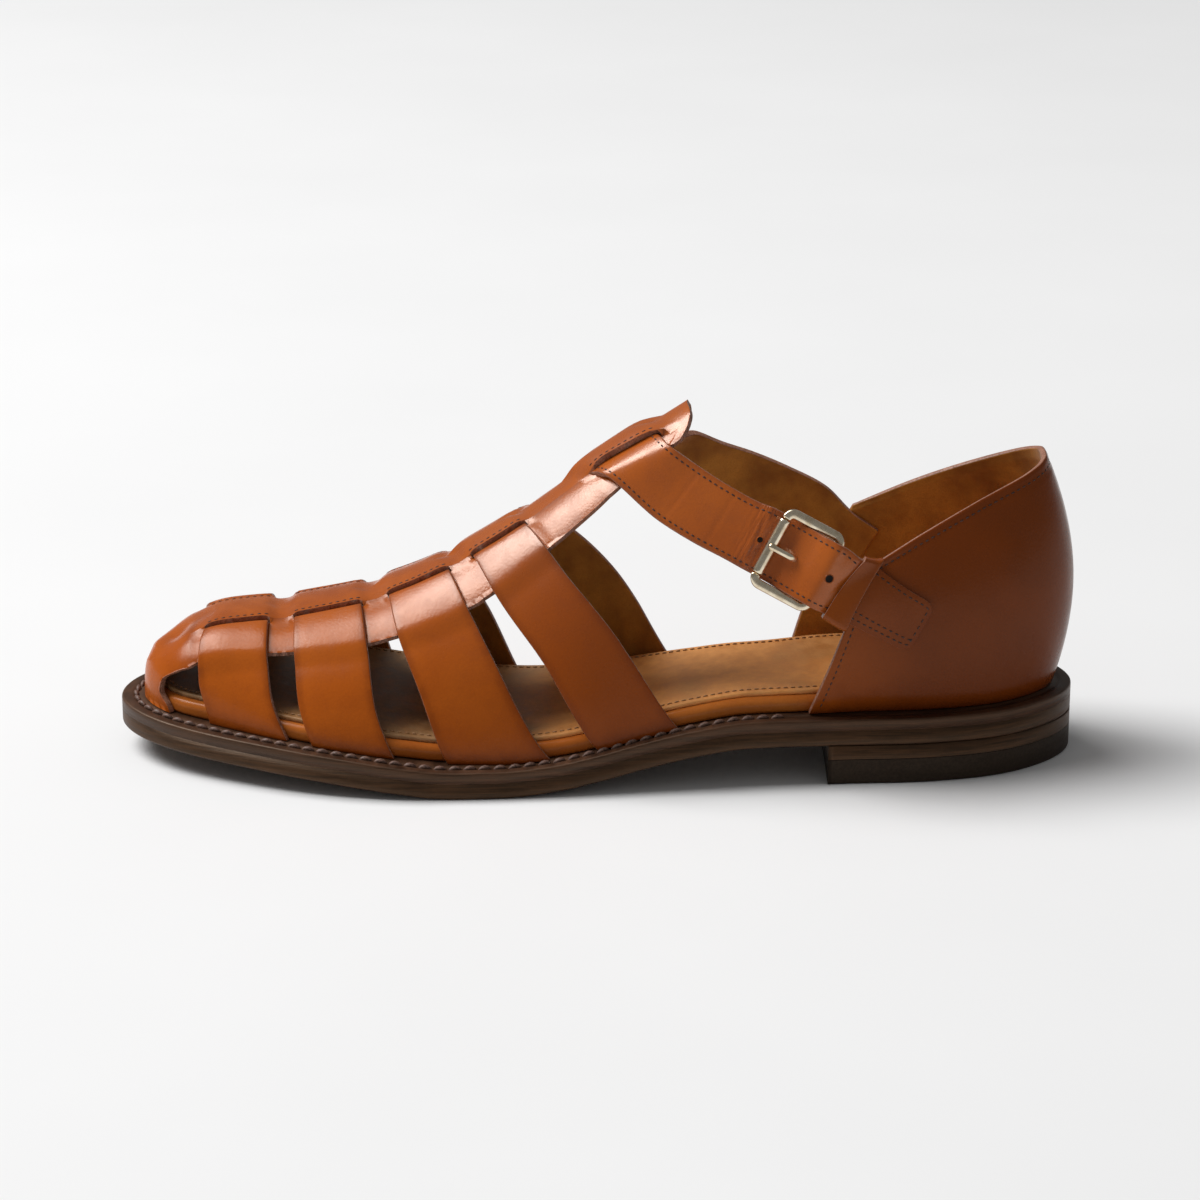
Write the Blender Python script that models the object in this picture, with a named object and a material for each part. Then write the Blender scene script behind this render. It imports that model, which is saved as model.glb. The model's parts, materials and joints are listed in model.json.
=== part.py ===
"""Fisherman sandal, left shoe, standing empty on its sole.

The heel points to +X, the toe to -X, and the outer side with the buckle to -Y. Lengths are in
metres. A station is a share of LENGTH, measured from the back of the heel. A girth is 0 where the
upper meets the welt and 1 on the ridge of the instep.
"""

import math

import bmesh
import bpy
import numpy as np

MM = 0.001

# Main sizes
LENGTH = 290 * MM
BALL_WIDTH = 96 * MM
INSTEP_HEIGHT = 110 * MM
HEEL_WALL_HEIGHT = 93.4 * MM

# Sole
HEEL_RISE = 12.2 * MM
TOE_SPRING = 7.8 * MM
OUTSOLE_THICKNESS = 5.0 * MM
WELT_THICKNESS = 3.1 * MM
WELT_WIDTH = 14 * MM
LIFT_THICKNESS = 4.0 * MM
HEEL_LENGTH = 75.8 * MM
FOOTBED_THICKNESS = 4.6 * MM
INSOLE_THICKNESS = 1.2 * MM
INSOLE_MARGIN = 2.4 * MM
EDGE_ROUND = 1.4 * MM

# Leather of the upper
WALL = 1.8 * MM
STRIP_RAISE = 1.3 * MM
ANKLE_RAISE = 2.8 * MM
SPINE_WIDTH = 50 * MM
CENTRE_STRIP = 19 * MM
SLOT = 2.0 * MM
STEP = 0.6 * MM
ANKLE_STRAP_WIDTH = 20.3 * MM
ANKLE_STRAP_THICKNESS = 2.2 * MM
UPPER_MARGIN = 7 * MM
CLEARANCE = 0.3 * MM
FUSE = 0.6 * MM

# Buckle. The frame's length and width are between the middles of its bars.
FRAME_LENGTH = 17.4 * MM
FRAME_BAR = 2.3 * MM
FRAME_WIDTH = ANKLE_STRAP_WIDTH + 2 * CLEARANCE + FRAME_BAR
FRAME_DEPTH = 1.9 * MM
FRAME_CORNER = 2.2 * MM
PIN_DIAMETER = 1.3 * MM
HINGE_DIAMETER = 1.9 * MM
ROLLER_DIAMETER = 3.0 * MM
PRONG_DIAMETER = 1.7 * MM
CHAPE_THICKNESS = 1.5 * MM
CHAPE_WIDTH = 18.6 * MM
CHAPE_END = 42.8 * MM
KEEPER_START = 14.2 * MM
KEEPER_WIDTH = 7.2 * MM
KEEPER_THICKNESS = 1.5 * MM

BAR_HALF = FRAME_WIDTH / 2 - FRAME_CORNER - 2 * CLEARANCE

# The buckle's middle: its station, how far out it lies and how high, then the directions that its
# strap runs in and that its bars lie in.
BUCKLE_STATION = 0.296
BUCKLE_OUT = 33.0 * MM
BUCKLE_HEIGHT = 69.6 * MM
BUCKLE_RUN = (0.88, -0.10, -0.465)
BUCKLE_ACROSS = (0.46, 0.20, 0.865)


class Curve:
    """A smooth curve through the points that never swings past them."""

    def __init__(self, xs, ys):
        self.xs = np.asarray(xs, float)
        self.ys = np.asarray(ys, float)
        self.step = np.diff(self.xs)
        slope = np.diff(self.ys) / self.step
        self.tangent = np.zeros_like(self.ys)
        self.tangent[0] = slope[0]
        self.tangent[-1] = slope[-1]
        for i in range(1, len(self.xs) - 1):
            if slope[i - 1] * slope[i] > 0:
                before = 2 * self.step[i] + self.step[i - 1]
                after = self.step[i] + 2 * self.step[i - 1]
                self.tangent[i] = (before + after) / (before / slope[i - 1] + after / slope[i])

    def at(self, x):
        x = np.asarray(x, float)
        i = np.clip(np.searchsorted(self.xs, x) - 1, 0, len(self.step) - 1)
        t = np.clip((x - self.xs[i]) / self.step[i], 0, 1)
        start = (2 * t**3 - 3 * t**2 + 1) * self.ys[i]
        leaving = (t**3 - 2 * t**2 + t) * self.step[i] * self.tangent[i]
        end = (3 * t**2 - 2 * t**3) * self.ys[i + 1]
        arriving = (t**3 - t**2) * self.step[i] * self.tangent[i + 1]
        return start + leaving + end + arriving


CURVES = {}


def column(table, name, x):
    """The named column of a table, read at x, which lies on the table's first column."""
    key = (id(table), name)
    if key not in CURVES:
        place = table[0].index(name)
        CURVES[key] = Curve([row[0] for row in table[1:]], [row[place] for row in table[1:]])
    return CURVES[key].at(x)


# How full the sole is at each station: the half width of the ellipse that would have the outline's
# width there, as a share of BALL_WIDTH.
OUTLINE = [
    ("station", "outer", "inner"),
    (0.00, 0.550, 0.574),
    (0.05, 0.550, 0.574),
    (0.15, 0.496, 0.510),
    (0.25, 0.437, 0.392),
    (0.35, 0.420, 0.272),
    (0.40, 0.432, 0.262),
    (0.45, 0.445, 0.280),
    (0.55, 0.490, 0.361),
    (0.65, 0.535, 0.475),
    (0.72, 0.563, 0.545),
    (0.80, 0.573, 0.599),
    (0.90, 0.564, 0.651),
    (0.96, 0.572, 0.665),
    (1.00, 0.572, 0.665),
]

# Height of the outsole's underside, as a share of HEEL_RISE behind the ball and of TOE_SPRING
# before it. It is zero, so flat on the floor, from 0.60 to 0.65.
PROFILE = [
    ("station", "heel", "toe"),
    (0.00, 1.00, 0.00),
    (0.28, 1.00, 0.00),
    (0.34, 0.98, 0.00),
    (0.40, 0.82, 0.00),
    (0.45, 0.58, 0.00),
    (0.50, 0.30, 0.00),
    (0.55, 0.09, 0.00),
    (0.60, 0.00, 0.00),
    (0.65, 0.00, 0.00),
    (0.70, 0.00, 0.19),
    (0.76, 0.00, 0.45),
    (0.83, 0.00, 0.67),
    (0.90, 0.00, 0.80),
    (1.00, 0.00, 1.00),
]

# How far the outer face of the upper stands in from the edge of the sole, as a share of UPPER_MARGIN.
MARGIN = [
    ("station", "share"),
    (0.00, 0.80),
    (0.20, 0.93),
    (0.30, 0.70),
    (0.42, 0.64),
    (0.50, 0.64),
    (0.56, 0.80),
    (0.66, 1.06),
    (0.80, 0.90),
    (0.90, 1.05),
    (0.96, 0.90),
    (1.00, 1.00),
]

# The last: height of its ridge as a share of INSTEP_HEIGHT, how far the ridge lies to the inner
# side as a share of BALL_WIDTH, and the powers that shape its section.
LAST = [
    ("station", "ridge", "lean", "across", "rise"),
    (0.40, 0.998, 0.010, 1.00, 1.20),
    (0.45, 0.909, 0.011, 1.01, 1.22),
    (0.50, 0.818, 0.012, 1.02, 1.26),
    (0.54, 0.742, 0.013, 1.03, 1.28),
    (0.58, 0.664, 0.015, 1.04, 1.30),
    (0.62, 0.596, 0.016, 1.05, 1.30),
    (0.66, 0.533, 0.017, 1.03, 1.27),
    (0.70, 0.482, 0.018, 1.01, 1.23),
    (0.74, 0.443, 0.019, 0.99, 1.20),
    (0.78, 0.416, 0.020, 0.96, 1.16),
    (0.82, 0.396, 0.021, 0.93, 1.10),
    (0.86, 0.384, 0.021, 0.85, 1.00),
    (0.89, 0.373, 0.021, 0.77, 0.89),
    (0.92, 0.345, 0.021, 0.70, 0.80),
    (0.948, 0.305, 0.021, 0.62, 0.66),
    (1.00, 0.300, 0.021, 0.57, 0.57),
]
TOE_FAN = 0.85
TOE_FAN_DEPTH = 1.69

# Half width of the spine strap, from the ridge to the edge of its wing, as a share of SPINE_WIDTH.
WING = [
    ("station", "reach"),
    (0.40, 0.32),
    (0.42, 0.35),
    (0.47, 0.46),
    (0.55, 0.49),
    (0.63, 0.55),
    (0.72, 0.55),
    (0.82, 0.50),
    (0.93, 0.44),
    (1.00, 0.44),
]

# Where each edge of a cross strap lies: its station on the ridge, high and low on the side, and at
# the welt.
GIRTHS = (0.0, 0.3, 0.6, 1.0)
STRAP_EDGES = [
    ("edge", "side", "welt", "low", "high", "ridge"),
    ("ankle_back", "outer", 0.372, 0.382, 0.404, 0.452),
    ("ankle_front", "outer", 0.410, 0.420, 0.447, 0.517),
    ("band_4_back", "outer", 0.413, 0.473, 0.536, 0.588),
    ("band_4_front", "outer", 0.495, 0.545, 0.599, 0.640),
    ("band_3_back", "outer", 0.544, 0.589, 0.629, 0.664),
    ("band_3_front", "outer", 0.651, 0.677, 0.705, 0.724),
    ("band_2_back", "outer", 0.708, 0.730, 0.739, 0.752),
    ("band_2_front", "outer", 0.797, 0.813, 0.818, 0.822),
    ("band_1_back", "outer", 0.824, 0.843, 0.848, 0.850),
    ("band_1_front", "outer", 0.912, 0.924, 0.924, 0.918),
    ("ankle_back", "inner", 0.372, 0.382, 0.404, 0.452),
    ("ankle_front", "inner", 0.410, 0.420, 0.447, 0.517),
    ("band_4_back", "inner", 0.412, 0.467, 0.530, 0.588),
    ("band_4_front", "inner", 0.530, 0.567, 0.604, 0.640),
    ("band_3_back", "inner", 0.570, 0.602, 0.636, 0.664),
    ("band_3_front", "inner", 0.665, 0.685, 0.706, 0.724),
    ("band_2_back", "inner", 0.715, 0.731, 0.741, 0.752),
    ("band_2_front", "inner", 0.800, 0.811, 0.817, 0.822),
    ("band_1_back", "inner", 0.832, 0.843, 0.848, 0.850),
    ("band_1_front", "inner", 0.920, 0.928, 0.930, 0.918),
]

# Edge of the toe piece, along the opening between it and band 1: the station at each girth.
TOE_EDGE = [
    ("girth", "outer", "inner"),
    (0.00, 0.958, 0.962),
    (0.10, 0.972, 0.972),
    (0.22, 0.970, 0.970),
    (0.34, 0.953, 0.955),
    (0.43, 0.934, 0.940),
    (0.60, 0.938, 0.942),
    (1.00, 0.945, 0.945),
]

# The rim of the heel counter, from the middle of the back (0) to its front corner (1): station,
# half width as a share of BALL_WIDTH, and height as a share of HEEL_WALL_HEIGHT.
RIM = [
    ("along", "station", "width", "height"),
    (0.00, 0.036, 0.000, 1.000),
    (0.05, 0.0365, 0.040, 0.998),
    (0.12, 0.0405, 0.080, 0.990),
    (0.25, 0.056, 0.133, 0.968),
    (0.50, 0.108, 0.205, 0.900),
    (0.75, 0.165, 0.270, 0.815),
    (1.00, 0.226, 0.326, 0.712),
    (1.30, 0.300, 0.365, 0.600),
]
COUNTER_FRONT = {"outer": 0.280, "inner": 0.300}
COUNTER_BULGE = 7.4 * MM
COUNTER_SIDE_BULGE = 0.55

# The ankle strap between the spine and the buckle, or the counter on the inner side: station,
# distance out from the axis as a share of BALL_WIDTH and height as a share of INSTEP_HEIGHT, first
# of its upper edge and then of its lower edge.
STRAP_RUN = [
    ("along", "upper_station", "upper_out", "upper_height", "lower_station", "lower_out", "lower_height"),
    (0.00, 0.394, 0.195, 0.852, 0.437, 0.232, 0.712),
    (0.30, 0.366, 0.232, 0.812, 0.402, 0.278, 0.664),
    (0.65, 0.335, 0.268, 0.775, 0.368, 0.312, 0.624),
    (0.82, 0.295, 0.298, 0.722, 0.325, 0.334, 0.567),
    (1.00, 0.255, 0.318, 0.660, 0.285, 0.346, 0.508),
]

SIDES = {"outer": -1, "inner": 1}


def half_width(turn):
    """Signed half width of the sole at an angle around it: 0 at the heel, pi at the toe."""
    station = (1 - np.cos(turn)) / 2
    outer = column(OUTLINE, "outer", station)
    inner = column(OUTLINE, "inner", station)
    return BALL_WIDTH * np.where(np.sin(turn) < 0, outer, inner) * np.sin(turn)


def middle_of_outline():
    turn = np.linspace(0, 2 * np.pi, 721)
    widths = half_width(turn)
    return (widths.max() + widths.min()) / 2


AXIS_Y = -middle_of_outline()


def edge(turn, inset):
    """Plan point on the sole's outline at an angle around it, moved in by the inset."""
    turn = np.asarray(turn, float)
    small = 1e-4

    def on_edge(angle):
        return np.stack([LENGTH / 2 * np.cos(angle), half_width(angle) + AXIS_Y], -1)

    along = on_edge(turn + small) - on_edge(turn - small)
    out = np.stack([along[..., 1], -along[..., 0]], -1)
    out /= np.linalg.norm(out, axis=-1, keepdims=True)
    return on_edge(turn) - out * np.asarray(inset)[..., None]


def station_of(x):
    return np.clip(0.5 - x / LENGTH, 0, 1)


def turn_at(station, side):
    """The angle around the sole of a station, on one side (-1 outer, 1 inner)."""
    return side * np.arccos(1 - 2 * np.asarray(station, float))


def sole_underside(station):
    return HEEL_RISE * column(PROFILE, "heel", station) + TOE_SPRING * column(PROFILE, "toe", station)


def welt_top(station):
    return sole_underside(station) + OUTSOLE_THICKNESS + CLEARANCE + WELT_THICKNESS


def upper_inset(station):
    return UPPER_MARGIN * column(MARGIN, "share", station)


def last_point(turn, girth):
    """Point on the outer face of a single layer of the upper over the foot."""
    turn = np.asarray(turn, float)
    girth = np.asarray(girth, float)
    foot = edge(turn, upper_inset((1 - np.cos(turn)) / 2))
    station = station_of(foot[..., 0])
    foot_z = welt_top(station) + CLEARANCE
    ridge_station = station - TOE_FAN_DEPTH * np.maximum(0, station - TOE_FAN) ** 2
    ridge_y = AXIS_Y + BALL_WIDTH * column(LAST, "lean", ridge_station)
    ridge_z = INSTEP_HEIGHT * column(LAST, "ridge", ridge_station)
    ridge = np.stack([LENGTH * (0.5 - ridge_station), ridge_y], -1)
    angle = (1 - girth) * np.pi / 2
    reach = np.sin(angle) ** column(LAST, "across", station)
    climb = np.cos(angle) ** column(LAST, "rise", station)
    plan = ridge + (foot - ridge) * reach[..., None]
    return np.concatenate([plan, (foot_z + (ridge_z - foot_z) * climb)[..., None]], -1)


def unit(vector):
    return vector / np.linalg.norm(vector, axis=-1, keepdims=True)


def level(normal):
    """The direction without its rise, so that a wall's foot stays on one height."""
    return unit(normal * np.array([1.0, 1.0, 0.0]))


def side_normal(turn, girth):
    small_turn = 0.01
    low = np.clip(girth - 0.015, 0.0, 0.97)
    high = low + 0.03
    along = last_point(turn + small_turn, (low + high) / 2) - last_point(turn - small_turn, (low + high) / 2)
    up = last_point(turn, high) - last_point(turn, low)
    return unit(np.cross(along, up))


def last_normal(turn, girth):
    """Outward normal of the last. On the ridge it is the mean of the two sides."""
    own = side_normal(turn, girth)
    other = side_normal(-turn, girth)
    share = np.clip((np.asarray(girth, float) - 0.85) / 0.15, 0, 1)[..., None] / 2
    return unit(own * (1 - share) + other * share)


def girth_at(station, side, distance):
    """The girth of the point that lies this far down the side from the ridge."""
    girths = np.linspace(1, 0, 81)
    points = last_point(np.full(81, float(turn_at(station, side))), girths)
    lengths = np.concatenate([[0], np.cumsum(np.linalg.norm(np.diff(points, axis=0), axis=1))])
    return float(np.interp(distance, lengths, girths))


EDGE_CURVES = {(row[0], row[1]): Curve(GIRTHS, row[2:]) for row in STRAP_EDGES[1:]}


def edge_station(name, side_name, girth):
    return float(EDGE_CURVES[(name, side_name)].at(girth))


def toe_edge_station(side_name, girth):
    return float(column(TOE_EDGE, side_name, girth))


# Solids


def clear_scene():
    for thing in list(bpy.data.objects):
        bpy.data.objects.remove(thing, do_unlink=True)


def material(name, colour, roughness, metallic=0.0):
    made = bpy.data.materials.new(name)
    made.use_nodes = True
    shader = made.node_tree.nodes["Principled BSDF"]
    shader.inputs["Base Color"].default_value = (*colour, 1.0)
    shader.inputs["Roughness"].default_value = roughness
    shader.inputs["Metallic"].default_value = metallic
    return made


def solid(name, points, faces, look):
    """A mesh object with its points welded and its faces turned outwards."""
    keys = {}
    kept = []
    clean = []
    for face in faces:
        corners = []
        for corner in face:
            key = tuple(int(round(value * 1e7)) for value in points[corner])
            if key not in keys:
                keys[key] = len(kept)
                kept.append(tuple(float(value) for value in points[corner]))
            if keys[key] not in corners:
                corners.append(keys[key])
        if len(corners) > 2:
            clean.append(corners)
    mesh = bpy.data.meshes.new(name)
    mesh.from_pydata(kept, [], clean)
    shape = bmesh.new()
    shape.from_mesh(mesh)
    bmesh.ops.recalc_face_normals(shape, faces=shape.faces)
    shape.to_mesh(mesh)
    shape.free()
    made = bpy.data.objects.new(name, mesh)
    bpy.context.scene.collection.objects.link(made)
    made.data.materials.append(look)
    return made


def plate(name, levels, look, first=0.0, last=1.0, count=48):
    """A closed plate between the two sides of the sole, from station first to station last.

    Each level is (inset, height): both are functions of the station. Levels run from the lowest
    loop to the highest.
    """
    start = math.acos(1 - 2 * first)
    end = math.acos(1 - 2 * last)
    turns = np.linspace(start, end, count + 1)
    points = []
    loops = []
    for inset, height in levels:
        rows = []
        for side in (-1, 1):
            angle = side * turns
            station = (1 - np.cos(angle)) / 2
            plan = edge(angle, inset(station))
            z = height(station_of(plan[:, 0]))
            rows.append(np.concatenate([plan, z[:, None]], -1))
        base = len(points)
        points.extend(rows[0])
        points.extend(rows[1])
        outer = [base + i for i in range(count + 1)]
        inner = [base + count + 1 + i for i in range(count + 1)]
        loops.append((outer, inner))
    faces = []
    for low, high in zip(loops, loops[1:]):
        for i in range(count):
            faces.append((low[0][i], high[0][i], high[0][i + 1], low[0][i + 1]))
            faces.append((low[1][i], low[1][i + 1], high[1][i + 1], high[1][i]))
        faces.append((low[0][0], low[1][0], high[1][0], high[0][0]))
        faces.append((low[0][-1], high[0][-1], high[1][-1], low[1][-1]))
    bottom = loops[0]
    top = loops[-1]
    for i in range(count):
        faces.append((bottom[0][i], bottom[0][i + 1], bottom[1][i + 1], bottom[1][i]))
        faces.append((top[0][i], top[1][i], top[1][i + 1], top[0][i + 1]))
    return solid(name, points, faces, look)


def ring(name, levels, look, count=96):
    """A closed ring around the whole sole. Levels run round its section, each (inset, height)."""
    turns = np.linspace(0, 2 * np.pi, count, endpoint=False)
    station = (1 - np.cos(turns)) / 2
    points = []
    for inset, height in levels:
        plan = edge(turns, inset(station))
        z = height(station_of(plan[:, 0]))
        points.extend(np.concatenate([plan, z[:, None]], -1))
    faces = []
    size = len(levels)
    for level in range(size):
        following = (level + 1) % size
        for i in range(count):
            j = (i + 1) % count
            faces.append((level * count + i, following * count + i, following * count + j, level * count + j))
    return solid(name, points, faces, look)


def even(value):
    """A level's inset or height that is the same all round."""
    return lambda station: np.full_like(np.asarray(station, float), value)


def lifted(height, rise):
    """A height function raised by a fixed amount."""
    return lambda station: height(station) + rise


def wall_inset(station, rise):
    """Inset of the inner face of the upper's wall, at a height above the welt, on the side where it
    leans in further."""
    girths = np.linspace(0, LOW_GIRTH, 16)
    insets = []
    for side in SIDES.values():
        turn = float(turn_at(station, side))
        turns = np.full(len(girths), turn)
        wall = last_point(turns, girths) - last_normal(turns, girths) * WALL
        foot = edge(turn, 0.0)
        away = unit(foot - edge(turn, MM))
        heights = wall[:, 2] - welt_top(station_of(foot[0]))
        insets.append(float(np.interp(rise, heights, (foot - wall[:, :2]) @ away)))
    return max(insets)


def footbed_margin(extra, rise=0.0):
    """Inset of the footbed's edge, which stands inside the upper's wall, at a height over the welt."""
    wall = upper_inset(np.array(BED_STATIONS)) + WALL
    if rise > 0:
        leaning = [wall_inset(station, rise) for station in BED_STATIONS]
        strapped = (np.array(BED_STATIONS) > BED_WAIST) & (np.array(BED_STATIONS) < BED_TOE)
        wall = np.where(strapped, np.maximum(wall, leaning), wall)
    inset = Curve(BED_STATIONS, wall)
    return lambda station: inset.at(station) + CLEARANCE + extra


BED_STATIONS = tuple(k / 40 for k in range(41))
BED_WAIST = 0.38
BED_TOE = 0.98
LOW_GIRTH = 0.4


def build_sole(looks):
    """Outsole, welt, heel lift, top lift, footbed and insole."""
    outsole_top = lifted(sole_underside, OUTSOLE_THICKNESS)
    welt_under = lifted(outsole_top, CLEARANCE)
    plate(
        "outsole",
        [
            (even(EDGE_ROUND / 2), sole_underside),
            (even(0), lifted(sole_underside, EDGE_ROUND / 2)),
            (even(0), lifted(sole_underside, OUTSOLE_THICKNESS - EDGE_ROUND / 2)),
            (even(EDGE_ROUND / 4), outsole_top),
        ],
        looks["sole leather"],
        count=44,
    )
    ring(
        "welt",
        [
            (even(EDGE_ROUND / 4), welt_under),
            (even(0), lifted(welt_under, EDGE_ROUND / 2)),
            (even(0), lifted(welt_top, -EDGE_ROUND / 2)),
            (even(EDGE_ROUND / 3), welt_top),
            (even(WELT_WIDTH), welt_top),
            (even(WELT_WIDTH), welt_under),
        ],
        looks["welt"],
        count=88,
    )
    breast = HEEL_LENGTH / LENGTH
    lift_top = even(HEEL_RISE - CLEARANCE)
    lift_under = even(HEEL_RISE - CLEARANCE - LIFT_THICKNESS)
    rubber_top = even(HEEL_RISE - 2 * CLEARANCE - LIFT_THICKNESS)
    plate(
        "heel_lift",
        [
            (even(EDGE_ROUND / 4), lift_under),
            (even(0), lifted(lift_under, EDGE_ROUND / 3)),
            (even(0), lift_top),
        ],
        looks["sole leather"],
        last=breast,
        count=24,
    )
    plate(
        "top_lift",
        [
            (even(EDGE_ROUND / 2), even(0)),
            (even(0), even(EDGE_ROUND / 2)),
            (even(0), lifted(rubber_top, -EDGE_ROUND / 3)),
            (even(EDGE_ROUND / 4), rubber_top),
        ],
        looks["rubber"],
        last=breast,
        count=24,
    )
    bed_under = lifted(welt_top, CLEARANCE)
    bed_top = lifted(bed_under, FOOTBED_THICKNESS)
    plug_under = lifted(outsole_top, CLEARANCE)
    plug = even(WELT_WIDTH + CLEARANCE)
    plate(
        "footbed",
        [
            (plug, plug_under),
            (plug, bed_under),
            (footbed_margin(EDGE_ROUND / 2), bed_under),
            (footbed_margin(0, EDGE_ROUND), lifted(bed_under, EDGE_ROUND / 2)),
            (footbed_margin(0, FOOTBED_THICKNESS / 2), lifted(bed_under, FOOTBED_THICKNESS / 2)),
            (footbed_margin(0, FOOTBED_THICKNESS), lifted(bed_top, -EDGE_ROUND)),
            (footbed_margin(EDGE_ROUND * 0.3, FOOTBED_THICKNESS), lifted(bed_top, -EDGE_ROUND * 0.3)),
            (footbed_margin(EDGE_ROUND, FOOTBED_THICKNESS), bed_top),
        ],
        looks["footbed leather"],
        count=44,
    )
    sock_under = lifted(bed_top, CLEARANCE)
    sock_top = lifted(sock_under, INSOLE_THICKNESS)
    plate(
        "insole",
        [(footbed_margin(INSOLE_MARGIN), sock_under), (footbed_margin(INSOLE_MARGIN), sock_top)],
        looks["insole"],
        count=44,
    )


# The heel counter


def counter_point(along, up, side_name):
    """Point on the counter's outer face: along is 0 at the back and 1 at the front edge."""
    side = SIDES[side_name]
    front_turn = math.acos(1 - 2 * COUNTER_FRONT[side_name])
    turn = side * front_turn * along
    station = (1 - math.cos(turn)) / 2
    foot = edge(turn, upper_inset(station))
    foot_z = float(welt_top(station_of(foot[0])) + CLEARANCE)
    rim_x = LENGTH * (0.5 - float(column(RIM, "station", along)))
    rim_y = AXIS_Y + side * BALL_WIDTH * float(column(RIM, "width", along))
    rim_z = HEEL_WALL_HEIGHT * float(column(RIM, "height", along))
    out = foot - edge(turn, upper_inset(station) + MM)
    out = out / np.linalg.norm(out)
    side_share = 1 - (1 - COUNTER_SIDE_BULGE) * min(along, 1.0)
    bulge = COUNTER_BULGE * side_share * math.sin(math.pi * min(max(up, 0.0), 1.0)) ** 0.9
    plan = foot * (1 - up) + np.array([rim_x, rim_y]) * up + out * bulge
    return np.array([plan[0], plan[1], foot_z + (rim_z - foot_z) * up])


def counter_normal(along, up, side_name):
    side = SIDES[side_name]
    small = 0.01
    low = max(up - small, 0.0)
    if 1 - 2 * small < low <= 1:
        low = 1 - 2 * small
    high = low + 2 * small
    middle = (low + high) / 2
    ahead = counter_point(along + small, middle, side_name)
    if along < small:
        other = "inner" if side_name == "outer" else "outer"
        behind = counter_point(small - along, middle, other)
    else:
        behind = counter_point(along - small, middle, side_name)
    rise = counter_point(along, high, side_name) - counter_point(along, low, side_name)
    return unit(np.cross(ahead - behind, rise)) * side


def counter_at(station, height, side_name):
    """Point of the counter's outer face, or of the flank that carries it on, found at a station and
    a height."""
    along = station / COUNTER_FRONT[side_name]
    up = 0.6
    small = 0.002
    for _ in range(9):
        here = counter_point(along, up, side_name)
        by_along = (counter_point(along + small, up, side_name) - here) / small
        by_up = (counter_point(along, up + small, side_name) - here) / small
        miss = np.array([LENGTH * (0.5 - station) - here[0], height - here[2]])
        slopes = np.array([[by_along[0], by_up[0]], [by_along[2], by_up[2]]])
        move = np.clip(np.linalg.solve(slopes, miss), -0.2, 0.2)
        along = min(max(along + move[0], 0.0), 1.29)
        up = min(max(up + move[1], 0.0), 1.5)
    return counter_point(along, up, side_name)


COUNTER_COLUMNS = 15
COUNTER_ROWS = 8


def sheet(outer, inner, keep, folded=False):
    """Points and faces of a closed sheet. Outer and inner are grids of points, and keep says which
    cells are leather. A folded sheet's last column meets itself, so it has no wall there."""
    rows, columns = outer.shape[:2]
    points = list(outer.reshape(-1, 3)) + list(inner.reshape(-1, 3))
    size = rows * columns
    faces = []

    def corner(i, j):
        return i * columns + j

    def kept(i, j):
        return 0 <= i < rows - 1 and 0 <= j < columns - 1 and keep[i][j]

    for i in range(rows - 1):
        for j in range(columns - 1):
            if not keep[i][j]:
                continue
            a = corner(i, j)
            b = corner(i + 1, j)
            c = corner(i + 1, j + 1)
            d = corner(i, j + 1)
            faces.append((a, b, c, d))
            faces.append((a + size, d + size, c + size, b + size))
            walls = [((i, j - 1), (a, b)), ((i + 1, j), (b, c)), ((i, j + 1), (c, d)), ((i - 1, j), (d, a))]
            for neighbour, (start, end) in walls:
                if folded and neighbour[1] == columns - 1:
                    continue
                if not kept(*neighbour):
                    faces.append((end, start, start + size, end + size))
    return points, faces


def counter_sheet():
    outer = []
    inner = []
    steps = [("outer", k / COUNTER_COLUMNS) for k in range(COUNTER_COLUMNS, 0, -1)]
    steps += [("inner", k / COUNTER_COLUMNS) for k in range(COUNTER_COLUMNS + 1)]
    for side_name, along in steps:
        line = [counter_point(along, k / COUNTER_ROWS, side_name) for k in range(COUNTER_ROWS + 1)]
        normals = [counter_normal(along, k / COUNTER_ROWS, side_name) for k in range(COUNTER_ROWS + 1)]
        normals[0] = level(normals[0])
        outer.append(line)
        inner.append([point - normal * WALL for point, normal in zip(line, normals)])
    outer = np.array(outer)
    inner = np.array(inner)
    keep = [[True] * (outer.shape[1] - 1)] * (outer.shape[0] - 1)
    return sheet(outer, inner, keep)


# The woven straps

FLAP_END = 0.401
FLAP_ROUND = 0.010
TOE_LINES = (1.0, 0.78, 0.56, 0.34, 0.16, 0.0)
STRAP_LINES = (0.0, 0.30, 0.426, 0.574, 0.70, 1.0)
SIDE_SHARES = (0.84, 0.64, 0.45, 0.28, 0.12, 0.0)
SPINE_ROWS = 8
SPINE_SHARE = 0.55
FREE_ROWS = 15


def spine_distances(reach):
    """Distances from the ridge of the rows over the spine: centre strip, slot and wing."""
    half = CENTRE_STRIP / 2
    wing = half + SLOT + STEP
    return [0, half * 0.55, half, half + STEP, half + SLOT, wing, (wing + reach) / 2, reach]


def wing_reach(station):
    return SPINE_WIDTH * float(column(WING, "reach", station))


class Line:
    """One line across the spine, from the welt on one side to the welt on the other."""

    def __init__(self, kind, place, raised=0.0, strap=None, share=0.0):
        self.kind = kind
        self.place = place
        self.raised = raised
        self.strap = strap
        self.share = share


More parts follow.
